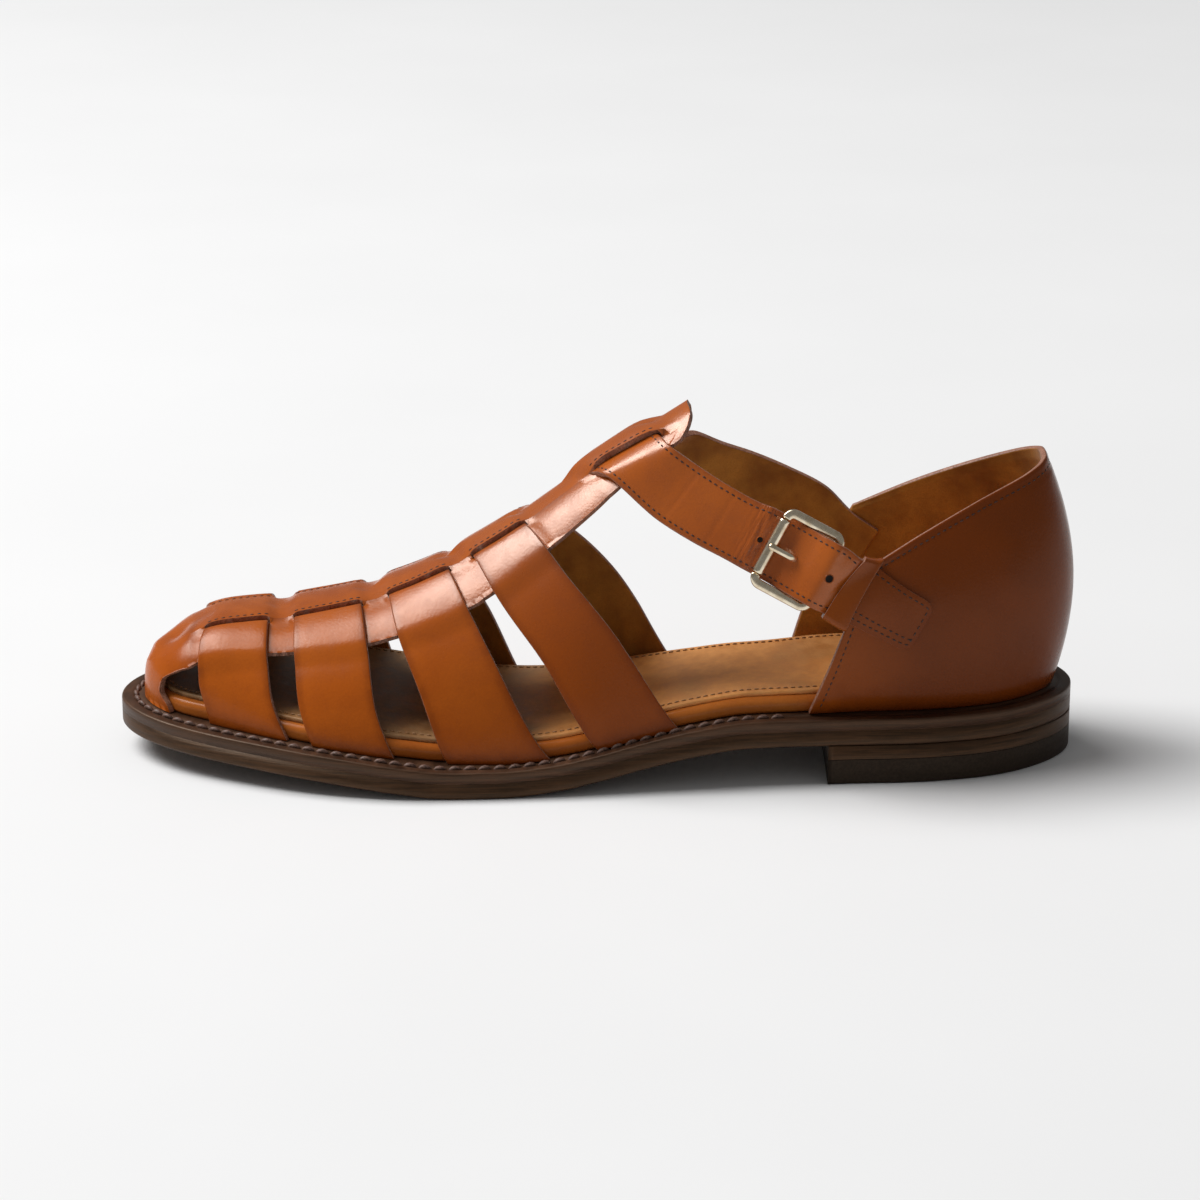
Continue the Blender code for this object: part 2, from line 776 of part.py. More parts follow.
def weave_lines():
    """The lines, from the flap on the instep to the toe."""
    lines = []
    nudge = STEP / LENGTH

    def flap(side_name, girth, distance):
        return FLAP_END + FLAP_ROUND * min(distance / wing_reach(0.41), 1.1) ** 6

    lines.append(Line("spine", flap))
    lines.append(Line("spine", between(flap, edge_line("ankle_back", -nudge), 0.6)))
    for number in ("ankle", "band_4", "band_3", "band_2", "band_1"):
        back = edge_line(number + "_back", 0.0)
        front = edge_line(number + "_front", 0.0)
        raised = ANKLE_RAISE if number == "ankle" else STRIP_RAISE
        shares = STRAP_LINES if number == "ankle" else (0.0, 0.33, 0.67, 1.0)
        lines.append(Line("spine", edge_line(number + "_back", -nudge)))
        for share in shares:
            lines.append(Line("strap", between(back, front, share), raised, number, share))
        lines.append(Line("spine", edge_line(number + "_front", nudge)))
        if number == "ankle":
            middle = between(front, edge_line("band_4_back", 0.0), 0.5)
            lines.append(Line("spine", middle))
    for share in TOE_LINES:
        lines.append(Line("toe", toe_line(share), share=share))
    return lines


def edge_line(name, nudge):
    return lambda side_name, girth, distance: edge_station(name, side_name, girth) + nudge


def between(first, second, share):
    def place(side_name, girth, distance):
        return first(side_name, girth, distance) * (1 - share) + second(side_name, girth, distance) * share

    return place


def toe_line(share):
    def place(side_name, girth, distance):
        turn = float(turn_at(toe_edge_station(side_name, girth), 1))
        turn = math.pi - (math.pi - turn) * share
        return (1 - math.cos(turn)) / 2

    return place


def side_length(station, side):
    points = last_point(np.full(41, float(turn_at(station, side))), np.linspace(1, 0, 41))
    return float(np.linalg.norm(np.diff(points, axis=0), axis=1).sum())


def rows_of(line, side_name):
    """(turn, girth) of each row of a line on one side: the spine's rows, then those down to the welt."""
    side = SIDES[side_name]
    places = []
    girth = 1.0
    middle = line.place(side_name, 0.6, 0.0)
    scale = min(1.0, SPINE_SHARE * side_length(middle, side) / wing_reach(middle))
    for row in range(SPINE_ROWS):
        for _ in range(4):
            station = line.place(side_name, girth, 0.0)
            distance = spine_distances(wing_reach(station))[row] * scale
            station = line.place(side_name, girth, distance)
            girth = girth_at(station, side, distance)
        places.append((float(turn_at(station, side)), girth))
    wing_girth = girth
    for share in SIDE_SHARES:
        girth = wing_girth * share
        station = line.place(side_name, girth, 0.0)
        places.append((float(turn_at(station, side)), girth))
    return places


def buckle_axes():
    run = unit(np.array(BUCKLE_RUN))
    out = unit(np.cross(run, np.array(BUCKLE_ACROSS)))
    across = np.cross(out, run)
    middle = np.array([LENGTH * (0.5 - BUCKLE_STATION), AXIS_Y - BUCKLE_OUT, BUCKLE_HEIGHT])
    return middle, run, across, out


def buckle_point(along, across, out):
    """A point given in the buckle's own directions."""
    middle, run, bars, away = buckle_axes()
    return middle + run * along + bars * across + away * out


STACK_SPAN = 3 * MM


def counter_below(along, across):
    """The point of the counter's outer face at the station and height of a place in the buckle's
    plane."""
    plane = buckle_point(along, across, 0.0)
    return counter_at(float(station_of(plane[0])), plane[2], "outer")


def stack_point(along, across, rise):
    """A point this far above the outer face of the counter, its slope evened out over STACK_SPAN."""
    run = counter_below(along + STACK_SPAN, across) - counter_below(along - STACK_SPAN, across)
    bars = counter_below(along, across + STACK_SPAN) - counter_below(along, across - STACK_SPAN)
    return counter_below(along, across) + unit(np.cross(run, bars)) * rise


STRAP_TOP = 3 * CLEARANCE + CHAPE_THICKNESS + ANKLE_STRAP_THICKNESS
STRAP_OVER_BAR = HINGE_DIAMETER / 2 + 2 * CLEARANCE + CHAPE_THICKNESS + ANKLE_STRAP_THICKNESS
HOLE_FRONT = -2.2 * MM
HOLE_BACK = 1.8 * MM

# The strap through the buckle: distance along it from the buckle's middle, and height over the
# frame's plane, as shares of half the frame's length and of the strap's height over the hinge bar.
BUCKLE_RUN_ROWS = [
    ("along", "rise"),
    (-1.50, -0.36),
    (-1.00, -0.37),
    (-0.58, -0.25),
    (HOLE_FRONT / FRAME_LENGTH * 2, 0.05),
    (HOLE_BACK / FRAME_LENGTH * 2, 0.43),
    (0.58, 0.78),
    (1.00, 1.00),
    (1.29, 0.88),
]
STACK_ROWS = (KEEPER_START, KEEPER_START + KEEPER_WIDTH / 2, KEEPER_START + KEEPER_WIDTH - MM)


def run_point(side_name, along, share):
    """A point of the free ankle strap between the spine and the buckle."""
    side = SIDES[side_name]
    ends = []
    for name in ("upper", "lower"):
        station = float(column(STRAP_RUN, name + "_station", along))
        out = float(column(STRAP_RUN, name + "_out", along))
        height = float(column(STRAP_RUN, name + "_height", along))
        plan = (LENGTH * (0.5 - station), AXIS_Y + side * BALL_WIDTH * out)
        ends.append(np.array([*plan, INSTEP_HEIGHT * height]))
    return ends[0] * (1 - share) + ends[1] * share


# The inner end of the ankle strap, which lies under the counter: station and height, as shares of
# LENGTH and INSTEP_HEIGHT, of its upper and lower edges.
INNER_END = [
    ("along", "upper_station", "upper_height", "lower_station", "lower_height"),
    (0.00, 0.222, 0.575, 0.250, 0.425),
    (1.00, 0.198, 0.532, 0.230, 0.385),
]


def free_rows(side_name, share):
    """Outer points of the ankle strap beyond the spine's wing, for one line along it."""
    rows = [run_point(side_name, along, share) for along in (0.0, 0.30, 0.65)]
    if side_name == "inner":
        rows += [run_point(side_name, along, share) for along in (0.82, 1.0)]
    if side_name == "outer":
        across = ANKLE_STRAP_WIDTH * (0.5 - share)
        for along, rise in BUCKLE_RUN_ROWS[1:]:
            rows.append(buckle_point(along * FRAME_LENGTH / 2, across, rise * STRAP_OVER_BAR))
        for along in STACK_ROWS:
            rows.append(stack_point(along, across, STRAP_TOP))
        return rows
    for along in (0.0, 0.5, 1.0):
        upper = [float(column(INNER_END, "upper_" + name, along)) for name in ("station", "height")]
        lower = [float(column(INNER_END, "lower_" + name, along)) for name in ("station", "height")]
        station = upper[0] * (1 - share) + lower[0] * share
        height = INSTEP_HEIGHT * (upper[1] * (1 - share) + lower[1] * share)
        point = counter_at(station, height, "inner")
        rows.append(point + np.array([0.0, FUSE - WALL, 0.0]))
    return rows


def weave_sheet():
    """The spine, its flap and toe piece, the cross bands and the ankle strap, as one sheet."""
    lines = weave_lines()
    total = SPINE_ROWS + FREE_ROWS
    count = 2 * total - 1
    outer = np.zeros((count, len(lines), 3))
    inner = np.zeros((count, len(lines), 3))
    used = np.zeros((count, len(lines)), bool)
    free = {}
    for j, line in enumerate(lines):
        for side_name, side in SIDES.items():
            for row, (turn, girth) in enumerate(rows_of(line, side_name)):
                if line.strap == "ankle" and row >= SPINE_ROWS:
                    continue
                point = last_point(turn, girth)
                normal = last_normal(turn, girth)
                if girth == 0:
                    normal = level(normal)
                over = row <= 2 or 5 <= row < SPINE_ROWS
                i = total - 1 + side * row
                outer[i, j] = point + normal * (line.raised if over else 0.0)
                inner[i, j] = point - normal * WALL
                used[i, j] = True
            if line.strap == "ankle":
                free[(side_name, j)] = free_rows(side_name, line.share)
    strap_columns = [j for j, line in enumerate(lines) if line.strap == "ankle"]
    for side_name, side in SIDES.items():
        rows = np.array([free[(side_name, j)] for j in strap_columns])
        edge_row = np.array([outer[total - 1 + side * (SPINE_ROWS - 1), j] for j in strap_columns])
        path = np.concatenate([edge_row[:, None], rows], 1)
        for k, j in enumerate(strap_columns):
            for step in range(1, path.shape[1]):
                run = path[k, min(step + 1, path.shape[1] - 1)] - path[k, step - 1]
                across = path[0, step] - path[-1, step]
                normal = unit(np.cross(across, run)) * side
                i = total - 1 + side * (SPINE_ROWS - 1 + step)
                outer[i, j] = path[k, step]
                inner[i, j] = path[k, step] - normal * ANKLE_STRAP_THICKNESS
                used[i, j] = True
    keep = np.zeros((count - 1, len(lines) - 1), bool)
    hole_row = SPINE_ROWS - 1 + 3 + 4
    for i in range(count - 1):
        low = min(abs(i - total + 1), abs(i + 1 - total + 1))
        for j in range(len(lines) - 1):
            a = lines[j]
            b = lines[j + 1]
            whole = used[i, j] and used[i + 1, j] and used[i, j + 1] and used[i + 1, j + 1]
            spine = low < SPINE_ROWS - 1
            strap = a.strap is not None and a.strap == b.strap
            toe = a.kind == "toe" and b.kind == "toe"
            keep[i, j] = whole and (spine or strap or toe)
            in_hole = a.strap == "ankle" and b.strap == "ankle" and a.share == STRAP_LINES[2]
            if in_hole and i < total - 1 and low == hole_row:
                keep[i, j] = False
    return sheet(outer, inner, keep, folded=True)


def build_upper(looks):
    """The woven straps and the counter, joined into one hollow solid."""
    points, faces = weave_sheet()
    upper = solid("upper", points, faces, looks["upper leather"])
    points, faces = counter_sheet()
    counter = solid("counter_shape", points, faces, looks["upper leather"])
    counter.hide_render = True
    counter.display_type = "WIRE"
    join = upper.modifiers.new("counter", "BOOLEAN")
    join.operation = "UNION"
    join.solver = "EXACT"
    join.object = counter


# Buckle, chape and keeper


def sweep(name, path, sections, look, closed=False):
    """A solid along a path. Each section is a list of (side, up) offsets in the buckle's plane."""
    _, _, _, away = buckle_axes()
    points = []
    size = len(sections[0])
    count = len(path)
    for i, place in enumerate(path):
        if closed:
            run = path[(i + 1) % count] - path[i - 1]
        else:
            run = path[min(i + 1, count - 1)] - path[max(i - 1, 0)]
        run = unit(run)
        side = unit(np.cross(run, away)) if abs(run @ away) < 0.99 else buckle_axes()[1]
        up = np.cross(side, run)
        points.extend(place + side * s + up * u for s, u in sections[i])
    faces = []
    for i in range(count if closed else count - 1):
        j = (i + 1) % count
        for k in range(size):
            following = (k + 1) % size
            faces.append((i * size + k, i * size + following, j * size + following, j * size + k))
    if not closed:
        faces.append(tuple(range(size - 1, -1, -1)))
        faces.append(tuple((count - 1) * size + k for k in range(size)))
    return solid(name, points, faces, look)


def round_section(diameter, count=10):
    angles = np.linspace(0, 2 * np.pi, count, endpoint=False)
    return [(diameter / 2 * math.cos(a), diameter / 2 * math.sin(a)) for a in angles]


def oval_section(width, depth, count=10):
    """A rounded bar: wider than deep, with flattened faces."""
    places = []
    for a in np.linspace(0, 2 * np.pi, count, endpoint=False):
        side = math.copysign(abs(math.cos(a)) ** 0.6, math.cos(a))
        up = math.copysign(abs(math.sin(a)) ** 0.6, math.sin(a))
        places.append((width / 2 * side, depth / 2 * up))
    return places


def build_frame(looks):
    """A rounded rectangle whose front bar is a thin pin for the roller and whose rear bar is round."""
    half_run = FRAME_LENGTH / 2
    half_bars = FRAME_WIDTH / 2
    corner = FRAME_CORNER
    bar = oval_section(FRAME_BAR, FRAME_DEPTH)
    pin = round_section(PIN_DIAMETER)
    hinge = round_section(HINGE_DIAMETER)
    path = []
    sections = []

    def add(along, across, section):
        path.append(buckle_point(along, across, 0.0))
        sections.append(section)

    def arc(centre_along, centre_across, start):
        for angle in np.radians(start + np.array([15, 45, 75])):
            along = centre_along + corner * math.cos(angle)
            across = centre_across + corner * math.sin(angle)
            add(along, across, bar)

    straight = half_bars - corner
    add(half_run, -straight + CLEARANCE, hinge)
    add(half_run, straight - CLEARANCE, hinge)
    add(half_run, straight, bar)
    arc(half_run - corner, straight, 0)
    add(half_run - corner, half_bars, bar)
    add(-half_run + corner, half_bars, bar)
    arc(-half_run + corner, straight, 90)
    add(-half_run, straight, bar)
    add(-half_run, straight - CLEARANCE, pin)
    add(-half_run, -straight + CLEARANCE, pin)
    add(-half_run, -straight, bar)
    arc(-half_run + corner, -straight, 180)
    add(-half_run + corner, -half_bars, bar)
    add(half_run - corner, -half_bars, bar)
    arc(half_run - corner, -straight, 270)
    add(half_run, -straight, bar)
    sweep("buckle_frame", path, sections, looks["metal"], closed=True)


def build_roller(looks):
    """A tube that turns on the frame's front pin."""
    half = BAR_HALF
    inside = PIN_DIAMETER / 2 + CLEARANCE
    outside = ROLLER_DIAMETER / 2
    count = 14
    points = []
    for across, radius in ((-half, inside), (-half, outside), (half, outside), (half, inside)):
        for k in range(count):
            angle = 2 * math.pi * k / count
            along = -FRAME_LENGTH / 2 + radius * math.cos(angle)
            points.append(buckle_point(along, across, radius * math.sin(angle)))
    faces = []
    for level in range(4):
        following = (level + 1) % 4
        for k in range(count):
            j = (k + 1) % count
            faces.append((level * count + k, following * count + k, following * count + j, level * count + j))
    solid("buckle_roller", points, faces, looks["metal"])


# The prong's middle line: along the strap and above the frame's plane, as shares of half the
# frame's length and of the height at which it rests on the roller.
PRONG_LINE = [
    ("along", "rise"),
    (1.13, -0.72),
    (1.00, -0.80),
    (0.69, -0.98),
    (0.41, -1.12),
    (0.21, -0.72),
    (0.00, -0.02),
    (-0.25, 0.58),
    (-0.57, 0.90),
    (-0.86, 1.02),
    (-1.15, 1.03),
]


def build_prong(looks):
    rest = ROLLER_DIAMETER / 2 + CLEARANCE + PRONG_DIAMETER / 2
    path = [buckle_point(along * FRAME_LENGTH / 2, 0.0, rise * rest) for along, rise in PRONG_LINE[1:]]
    sections = [round_section(PRONG_DIAMETER)] * len(path)
    sweep("buckle_prong", path, sections, looks["metal"])


CHAPE_SHARES = (-1.0, -0.6, -0.17, 0.17, 0.6, 1.0)

# The tab that is stitched on the counter: distance along the strap as a share of CHAPE_END, and
# half width and how far it lies below the strap's middle line, as shares of half CHAPE_WIDTH.
CHAPE_TAB = [
    ("along", "width", "drop"),
    (0.36, 0.96, 0.00),
    (0.43, 0.97, 0.02),
    (0.50, 0.98, 0.04),
    (0.62, 0.94, 0.10),
    (0.80, 0.89, 0.16),
    (0.96, 0.86, 0.18),
    (1.00, 0.74, 0.18),
]


def build_chape(looks):
    """The strap that is stitched on the counter and folds round the hinge bar."""
    outer = []
    inner = []
    half = CHAPE_WIDTH / 2
    for along, width, drop in reversed(CHAPE_TAB[1:]):
        places = [(along * CHAPE_END, -half * (s * width + drop)) for s in CHAPE_SHARES]
        outer.append([stack_point(*place, CLEARANCE + CHAPE_THICKNESS) for place in places])
        inner.append([stack_point(*place, CLEARANCE) for place in places])
    near = HINGE_DIAMETER / 2 + CLEARANCE
    far = near + CHAPE_THICKNESS
    bar = FRAME_LENGTH / 2
    loop = [(bar + 2.6 * MM, -near, -far)]
    for angle in np.radians([270, 240, 210, 180, 150, 120, 90]):
        loop.append((bar, angle))
    notch_rows = []
    for entry in loop:
        if len(entry) == 3:
            pairs = ((entry[0], entry[1]), (entry[0], entry[2]))
        else:
            angle = entry[1]
            pairs = tuple((bar + r * math.cos(angle), r * math.sin(angle)) for r in (near, far))
        notch_rows.append(len(outer))
        outer.append([buckle_point(pairs[0][0], -s * BAR_HALF, pairs[0][1]) for s in CHAPE_SHARES])
        inner.append([buckle_point(pairs[1][0], -s * BAR_HALF, pairs[1][1]) for s in CHAPE_SHARES])
    outer = np.array(outer)
    inner = np.array(inner)
    keep = np.ones((outer.shape[0] - 1, outer.shape[1] - 1), bool)
    keep[notch_rows[0] : notch_rows[-1] - 1, 2] = False
    points, faces = sheet(outer, inner, keep)
    solid("chape", points, faces, looks["upper leather"])


def build_keeper(looks):
    """The leather loop over the strap, from one side of the chape to the other."""
    inside_half = ANKLE_STRAP_WIDTH / 2 + CLEARANCE
    outside_half = inside_half + KEEPER_THICKNESS
    inside_top = STRAP_TOP + CLEARANCE
    outside_top = inside_top + KEEPER_THICKNESS
    corner = KEEPER_THICKNESS
    outside = [
        (-outside_half, CLEARANCE),
        (-outside_half, outside_top - corner),
        (-outside_half + corner * 0.3, outside_top - corner * 0.3),
        (-outside_half + corner, outside_top),
        (-outside_half / 2, outside_top),
        (0.0, outside_top),
        (outside_half / 2, outside_top),
        (outside_half - corner, outside_top),
        (outside_half - corner * 0.3, outside_top - corner * 0.3),
        (outside_half, outside_top - corner),
        (outside_half, CLEARANCE),
    ]
    inside = [
        (-inside_half, CLEARANCE),
        (-inside_half, inside_top - corner * 0.4),
        (-inside_half, inside_top - corner * 0.1),
        (-inside_half + corner * 0.3, inside_top),
        (-inside_half / 2, inside_top),
        (0.0, inside_top),
        (inside_half / 2, inside_top),
        (inside_half - corner * 0.3, inside_top),
        (inside_half, inside_top - corner * 0.1),
        (inside_half, inside_top - corner * 0.4),
        (inside_half, CLEARANCE),
    ]
    outer = []
    inner = []
    for out_place, in_place in zip(outside, inside):
        stops = (KEEPER_START, KEEPER_START + KEEPER_WIDTH / 2, KEEPER_START + KEEPER_WIDTH)
        outer.append([stack_point(along, *out_place) for along in stops])
        inner.append([stack_point(along, *in_place) for along in stops])
    outer = np.array(outer)
    inner = np.array(inner)
    keep = np.ones((outer.shape[0] - 1, outer.shape[1] - 1), bool)
    points, faces = sheet(outer, inner, keep)
    solid("keeper", points, faces, looks["upper leather"])


def main():
    clear_scene()
    looks = {
        "upper leather": material("upper leather", (0.42, 0.13, 0.03), 0.35),
        "footbed leather": material("footbed leather", (0.50, 0.20, 0.06), 0.45),
        "insole": material("insole leather", (0.42, 0.25, 0.12), 0.6),
        "welt": material("welt leather", (0.07, 0.03, 0.015), 0.5),
        "sole leather": material("sole leather", (0.10, 0.045, 0.02), 0.45),
        "rubber": material("heel rubber", (0.03, 0.02, 0.015), 0.6),
        "metal": material("pale gold metal", (0.80, 0.72, 0.60), 0.2, 1.0),
    }
    build_sole(looks)
    build_upper(looks)
    build_frame(looks)
    build_roller(looks)
    build_prong(looks)
    build_chape(looks)
    build_keeper(looks)
    bpy.context.view_layer.update()


main()
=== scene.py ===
"""Looks of the fisherman sandal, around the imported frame.

The sizes, tables and forms of the last, sole and counter are the ones of the part, in metres. The
weave is made here strap by strap, where the part has it as one solid.
"""

import json
import math

import bpy
import numpy as np
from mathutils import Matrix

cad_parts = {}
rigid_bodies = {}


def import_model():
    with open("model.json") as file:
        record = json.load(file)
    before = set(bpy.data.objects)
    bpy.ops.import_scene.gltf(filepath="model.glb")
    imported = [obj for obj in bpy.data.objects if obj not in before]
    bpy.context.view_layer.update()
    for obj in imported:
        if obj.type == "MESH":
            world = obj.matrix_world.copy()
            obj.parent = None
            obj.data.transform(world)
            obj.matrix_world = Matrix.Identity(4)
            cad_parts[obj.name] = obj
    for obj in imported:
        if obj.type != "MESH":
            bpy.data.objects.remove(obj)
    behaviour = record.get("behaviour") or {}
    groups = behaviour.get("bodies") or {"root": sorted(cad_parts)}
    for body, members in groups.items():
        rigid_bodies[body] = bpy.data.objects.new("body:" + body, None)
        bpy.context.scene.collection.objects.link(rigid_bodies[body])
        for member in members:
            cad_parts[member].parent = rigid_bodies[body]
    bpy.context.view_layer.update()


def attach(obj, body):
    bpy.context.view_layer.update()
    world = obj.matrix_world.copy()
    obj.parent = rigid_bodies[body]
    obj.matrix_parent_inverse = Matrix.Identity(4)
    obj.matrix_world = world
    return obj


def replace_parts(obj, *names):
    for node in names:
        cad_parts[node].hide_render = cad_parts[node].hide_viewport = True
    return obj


for thing in list(bpy.data.objects):
    bpy.data.objects.remove(thing, do_unlink=True)
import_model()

MM = 0.001

# Main sizes
LENGTH = 290 * MM
BALL_WIDTH = 96 * MM
INSTEP_HEIGHT = 110 * MM
HEEL_WALL_HEIGHT = 93.4 * MM

# Sole
HEEL_RISE = 12.2 * MM
TOE_SPRING = 7.8 * MM
OUTSOLE_THICKNESS = 5.0 * MM
WELT_THICKNESS = 3.1 * MM
WELT_WIDTH = 14 * MM
LIFT_THICKNESS = 4.0 * MM
HEEL_LENGTH = 75.8 * MM
FOOTBED_THICKNESS = 4.6 * MM
INSOLE_THICKNESS = 1.2 * MM
INSOLE_MARGIN = 2.4 * MM

# Leather of the upper
WALL = 1.8 * MM
SPINE_WIDTH = 50 * MM
CENTRE_STRIP = 19 * MM
SLOT = 2.0 * MM
ANKLE_STRAP_WIDTH = 20.3 * MM
ANKLE_STRAP_THICKNESS = 2.2 * MM
UPPER_MARGIN = 7 * MM
CLEARANCE = 0.3 * MM
FUSE = 0.6 * MM

# Buckle. The frame's length and width are between the middles of its bars.
FRAME_LENGTH = 17.4 * MM
FRAME_BAR = 2.3 * MM
FRAME_WIDTH = ANKLE_STRAP_WIDTH + 2 * CLEARANCE + FRAME_BAR
FRAME_DEPTH = 1.9 * MM
FRAME_CORNER = 2.2 * MM
PIN_DIAMETER = 1.3 * MM
HINGE_DIAMETER = 1.9 * MM
ROLLER_DIAMETER = 3.0 * MM
PRONG_DIAMETER = 1.7 * MM
CHAPE_THICKNESS = 1.5 * MM
CHAPE_WIDTH = 18.6 * MM
CHAPE_END = 42.8 * MM
KEEPER_START = 14.2 * MM
KEEPER_WIDTH = 7.2 * MM
KEEPER_THICKNESS = 1.5 * MM

BAR_HALF = FRAME_WIDTH / 2 - FRAME_CORNER - 2 * CLEARANCE

# The buckle's middle: its station, how far out it lies and how high, then the directions that its
# strap runs in and that its bars lie in.
BUCKLE_STATION = 0.296
BUCKLE_OUT = 33.0 * MM
BUCKLE_HEIGHT = 69.6 * MM
BUCKLE_RUN = (0.88, -0.10, -0.465)
BUCKLE_ACROSS = (0.46, 0.20, 0.865)


class Curve:
    """A smooth curve through the points that never swings past them."""

    def __init__(self, xs, ys):
        self.xs = np.asarray(xs, float)
        self.ys = np.asarray(ys, float)
        self.step = np.diff(self.xs)
        slope = np.diff(self.ys) / self.step
        self.tangent = np.zeros_like(self.ys)
        self.tangent[0] = slope[0]
        self.tangent[-1] = slope[-1]
        for i in range(1, len(self.xs) - 1):
            if slope[i - 1] * slope[i] > 0:
                before = 2 * self.step[i] + self.step[i - 1]
                after = self.step[i] + 2 * self.step[i - 1]
                self.tangent[i] = (before + after) / (before / slope[i - 1] + after / slope[i])

    def at(self, x):
        x = np.asarray(x, float)
        i = np.clip(np.searchsorted(self.xs, x) - 1, 0, len(self.step) - 1)
        t = np.clip((x - self.xs[i]) / self.step[i], 0, 1)
        start = (2 * t**3 - 3 * t**2 + 1) * self.ys[i]
        leaving = (t**3 - 2 * t**2 + t) * self.step[i] * self.tangent[i]
        end = (3 * t**2 - 2 * t**3) * self.ys[i + 1]
        arriving = (t**3 - t**2) * self.step[i] * self.tangent[i + 1]
        return start + leaving + end + arriving


CURVES = {}


def column(table, name, x):
    """The named column of a table, read at x, which lies on the table's first column."""
    key = (id(table), name)
    if key not in CURVES:
        place = table[0].index(name)
        CURVES[key] = Curve([row[0] for row in table[1:]], [row[place] for row in table[1:]])
    return CURVES[key].at(x)


# How full the sole is at each station: the half width of the ellipse that would have the outline's
# width there, as a share of BALL_WIDTH.
OUTLINE = [
    ("station", "outer", "inner"),
    (0.00, 0.550, 0.574),
    (0.05, 0.550, 0.574),
    (0.15, 0.496, 0.510),
    (0.25, 0.437, 0.392),
    (0.35, 0.420, 0.272),
    (0.40, 0.432, 0.262),
    (0.45, 0.445, 0.280),
    (0.55, 0.490, 0.361),
    (0.65, 0.535, 0.475),
    (0.72, 0.563, 0.545),
    (0.80, 0.573, 0.599),
    (0.90, 0.564, 0.651),
    (0.96, 0.572, 0.665),
    (1.00, 0.572, 0.665),
]

# Height of the outsole's underside, as a share of HEEL_RISE behind the ball and of TOE_SPRING
# before it. It is zero, so flat on the floor, from 0.60 to 0.65.
PROFILE = [
    ("station", "heel", "toe"),
    (0.00, 1.00, 0.00),
    (0.28, 1.00, 0.00),
    (0.34, 0.98, 0.00),
    (0.40, 0.82, 0.00),
    (0.45, 0.58, 0.00),
    (0.50, 0.30, 0.00),
    (0.55, 0.09, 0.00),
    (0.60, 0.00, 0.00),
    (0.65, 0.00, 0.00),
    (0.70, 0.00, 0.19),
    (0.76, 0.00, 0.45),
    (0.83, 0.00, 0.67),
    (0.90, 0.00, 0.80),
    (1.00, 0.00, 1.00),
]

# How far the outer face of the upper stands in from the edge of the sole, as a share of UPPER_MARGIN.
MARGIN = [
    ("station", "share"),
    (0.00, 0.80),
    (0.20, 0.93),
    (0.30, 0.70),
    (0.42, 0.64),
    (0.50, 0.64),
    (0.56, 0.80),
    (0.66, 1.06),
    (0.80, 0.90),
    (0.90, 1.05),
    (0.96, 0.90),
    (1.00, 1.00),
]

# The last: height of its ridge as a share of INSTEP_HEIGHT, how far the ridge lies to the inner
# side as a share of BALL_WIDTH, and the powers that shape its section.
LAST = [
    ("station", "ridge", "lean", "across", "rise"),
    (0.40, 0.998, 0.010, 1.00, 1.20),
    (0.45, 0.909, 0.011, 1.01, 1.22),
    (0.50, 0.818, 0.012, 1.02, 1.26),
    (0.54, 0.742, 0.013, 1.03, 1.28),
    (0.58, 0.664, 0.015, 1.04, 1.30),
    (0.62, 0.596, 0.016, 1.05, 1.30),
    (0.66, 0.533, 0.017, 1.03, 1.27),
    (0.70, 0.482, 0.018, 1.01, 1.23),
    (0.74, 0.443, 0.019, 0.99, 1.20),
    (0.78, 0.416, 0.020, 0.96, 1.16),
    (0.82, 0.396, 0.021, 0.93, 1.10),
    (0.86, 0.384, 0.021, 0.85, 1.00),
    (0.89, 0.373, 0.021, 0.77, 0.89),
    (0.92, 0.345, 0.021, 0.70, 0.80),
    (0.948, 0.305, 0.021, 0.62, 0.66),
    (1.00, 0.300, 0.021, 0.57, 0.57),
]
TOE_FAN = 0.85
TOE_FAN_DEPTH = 1.69

# Half width of the spine strap, from the ridge to the edge of its wing, as a share of SPINE_WIDTH.
WING = [
    ("station", "reach"),
    (0.40, 0.32),
    (0.42, 0.35),
    (0.47, 0.46),
    (0.55, 0.49),
    (0.63, 0.55),
    (0.72, 0.55),
    (0.82, 0.50),
    (0.93, 0.44),
    (1.00, 0.44),
]

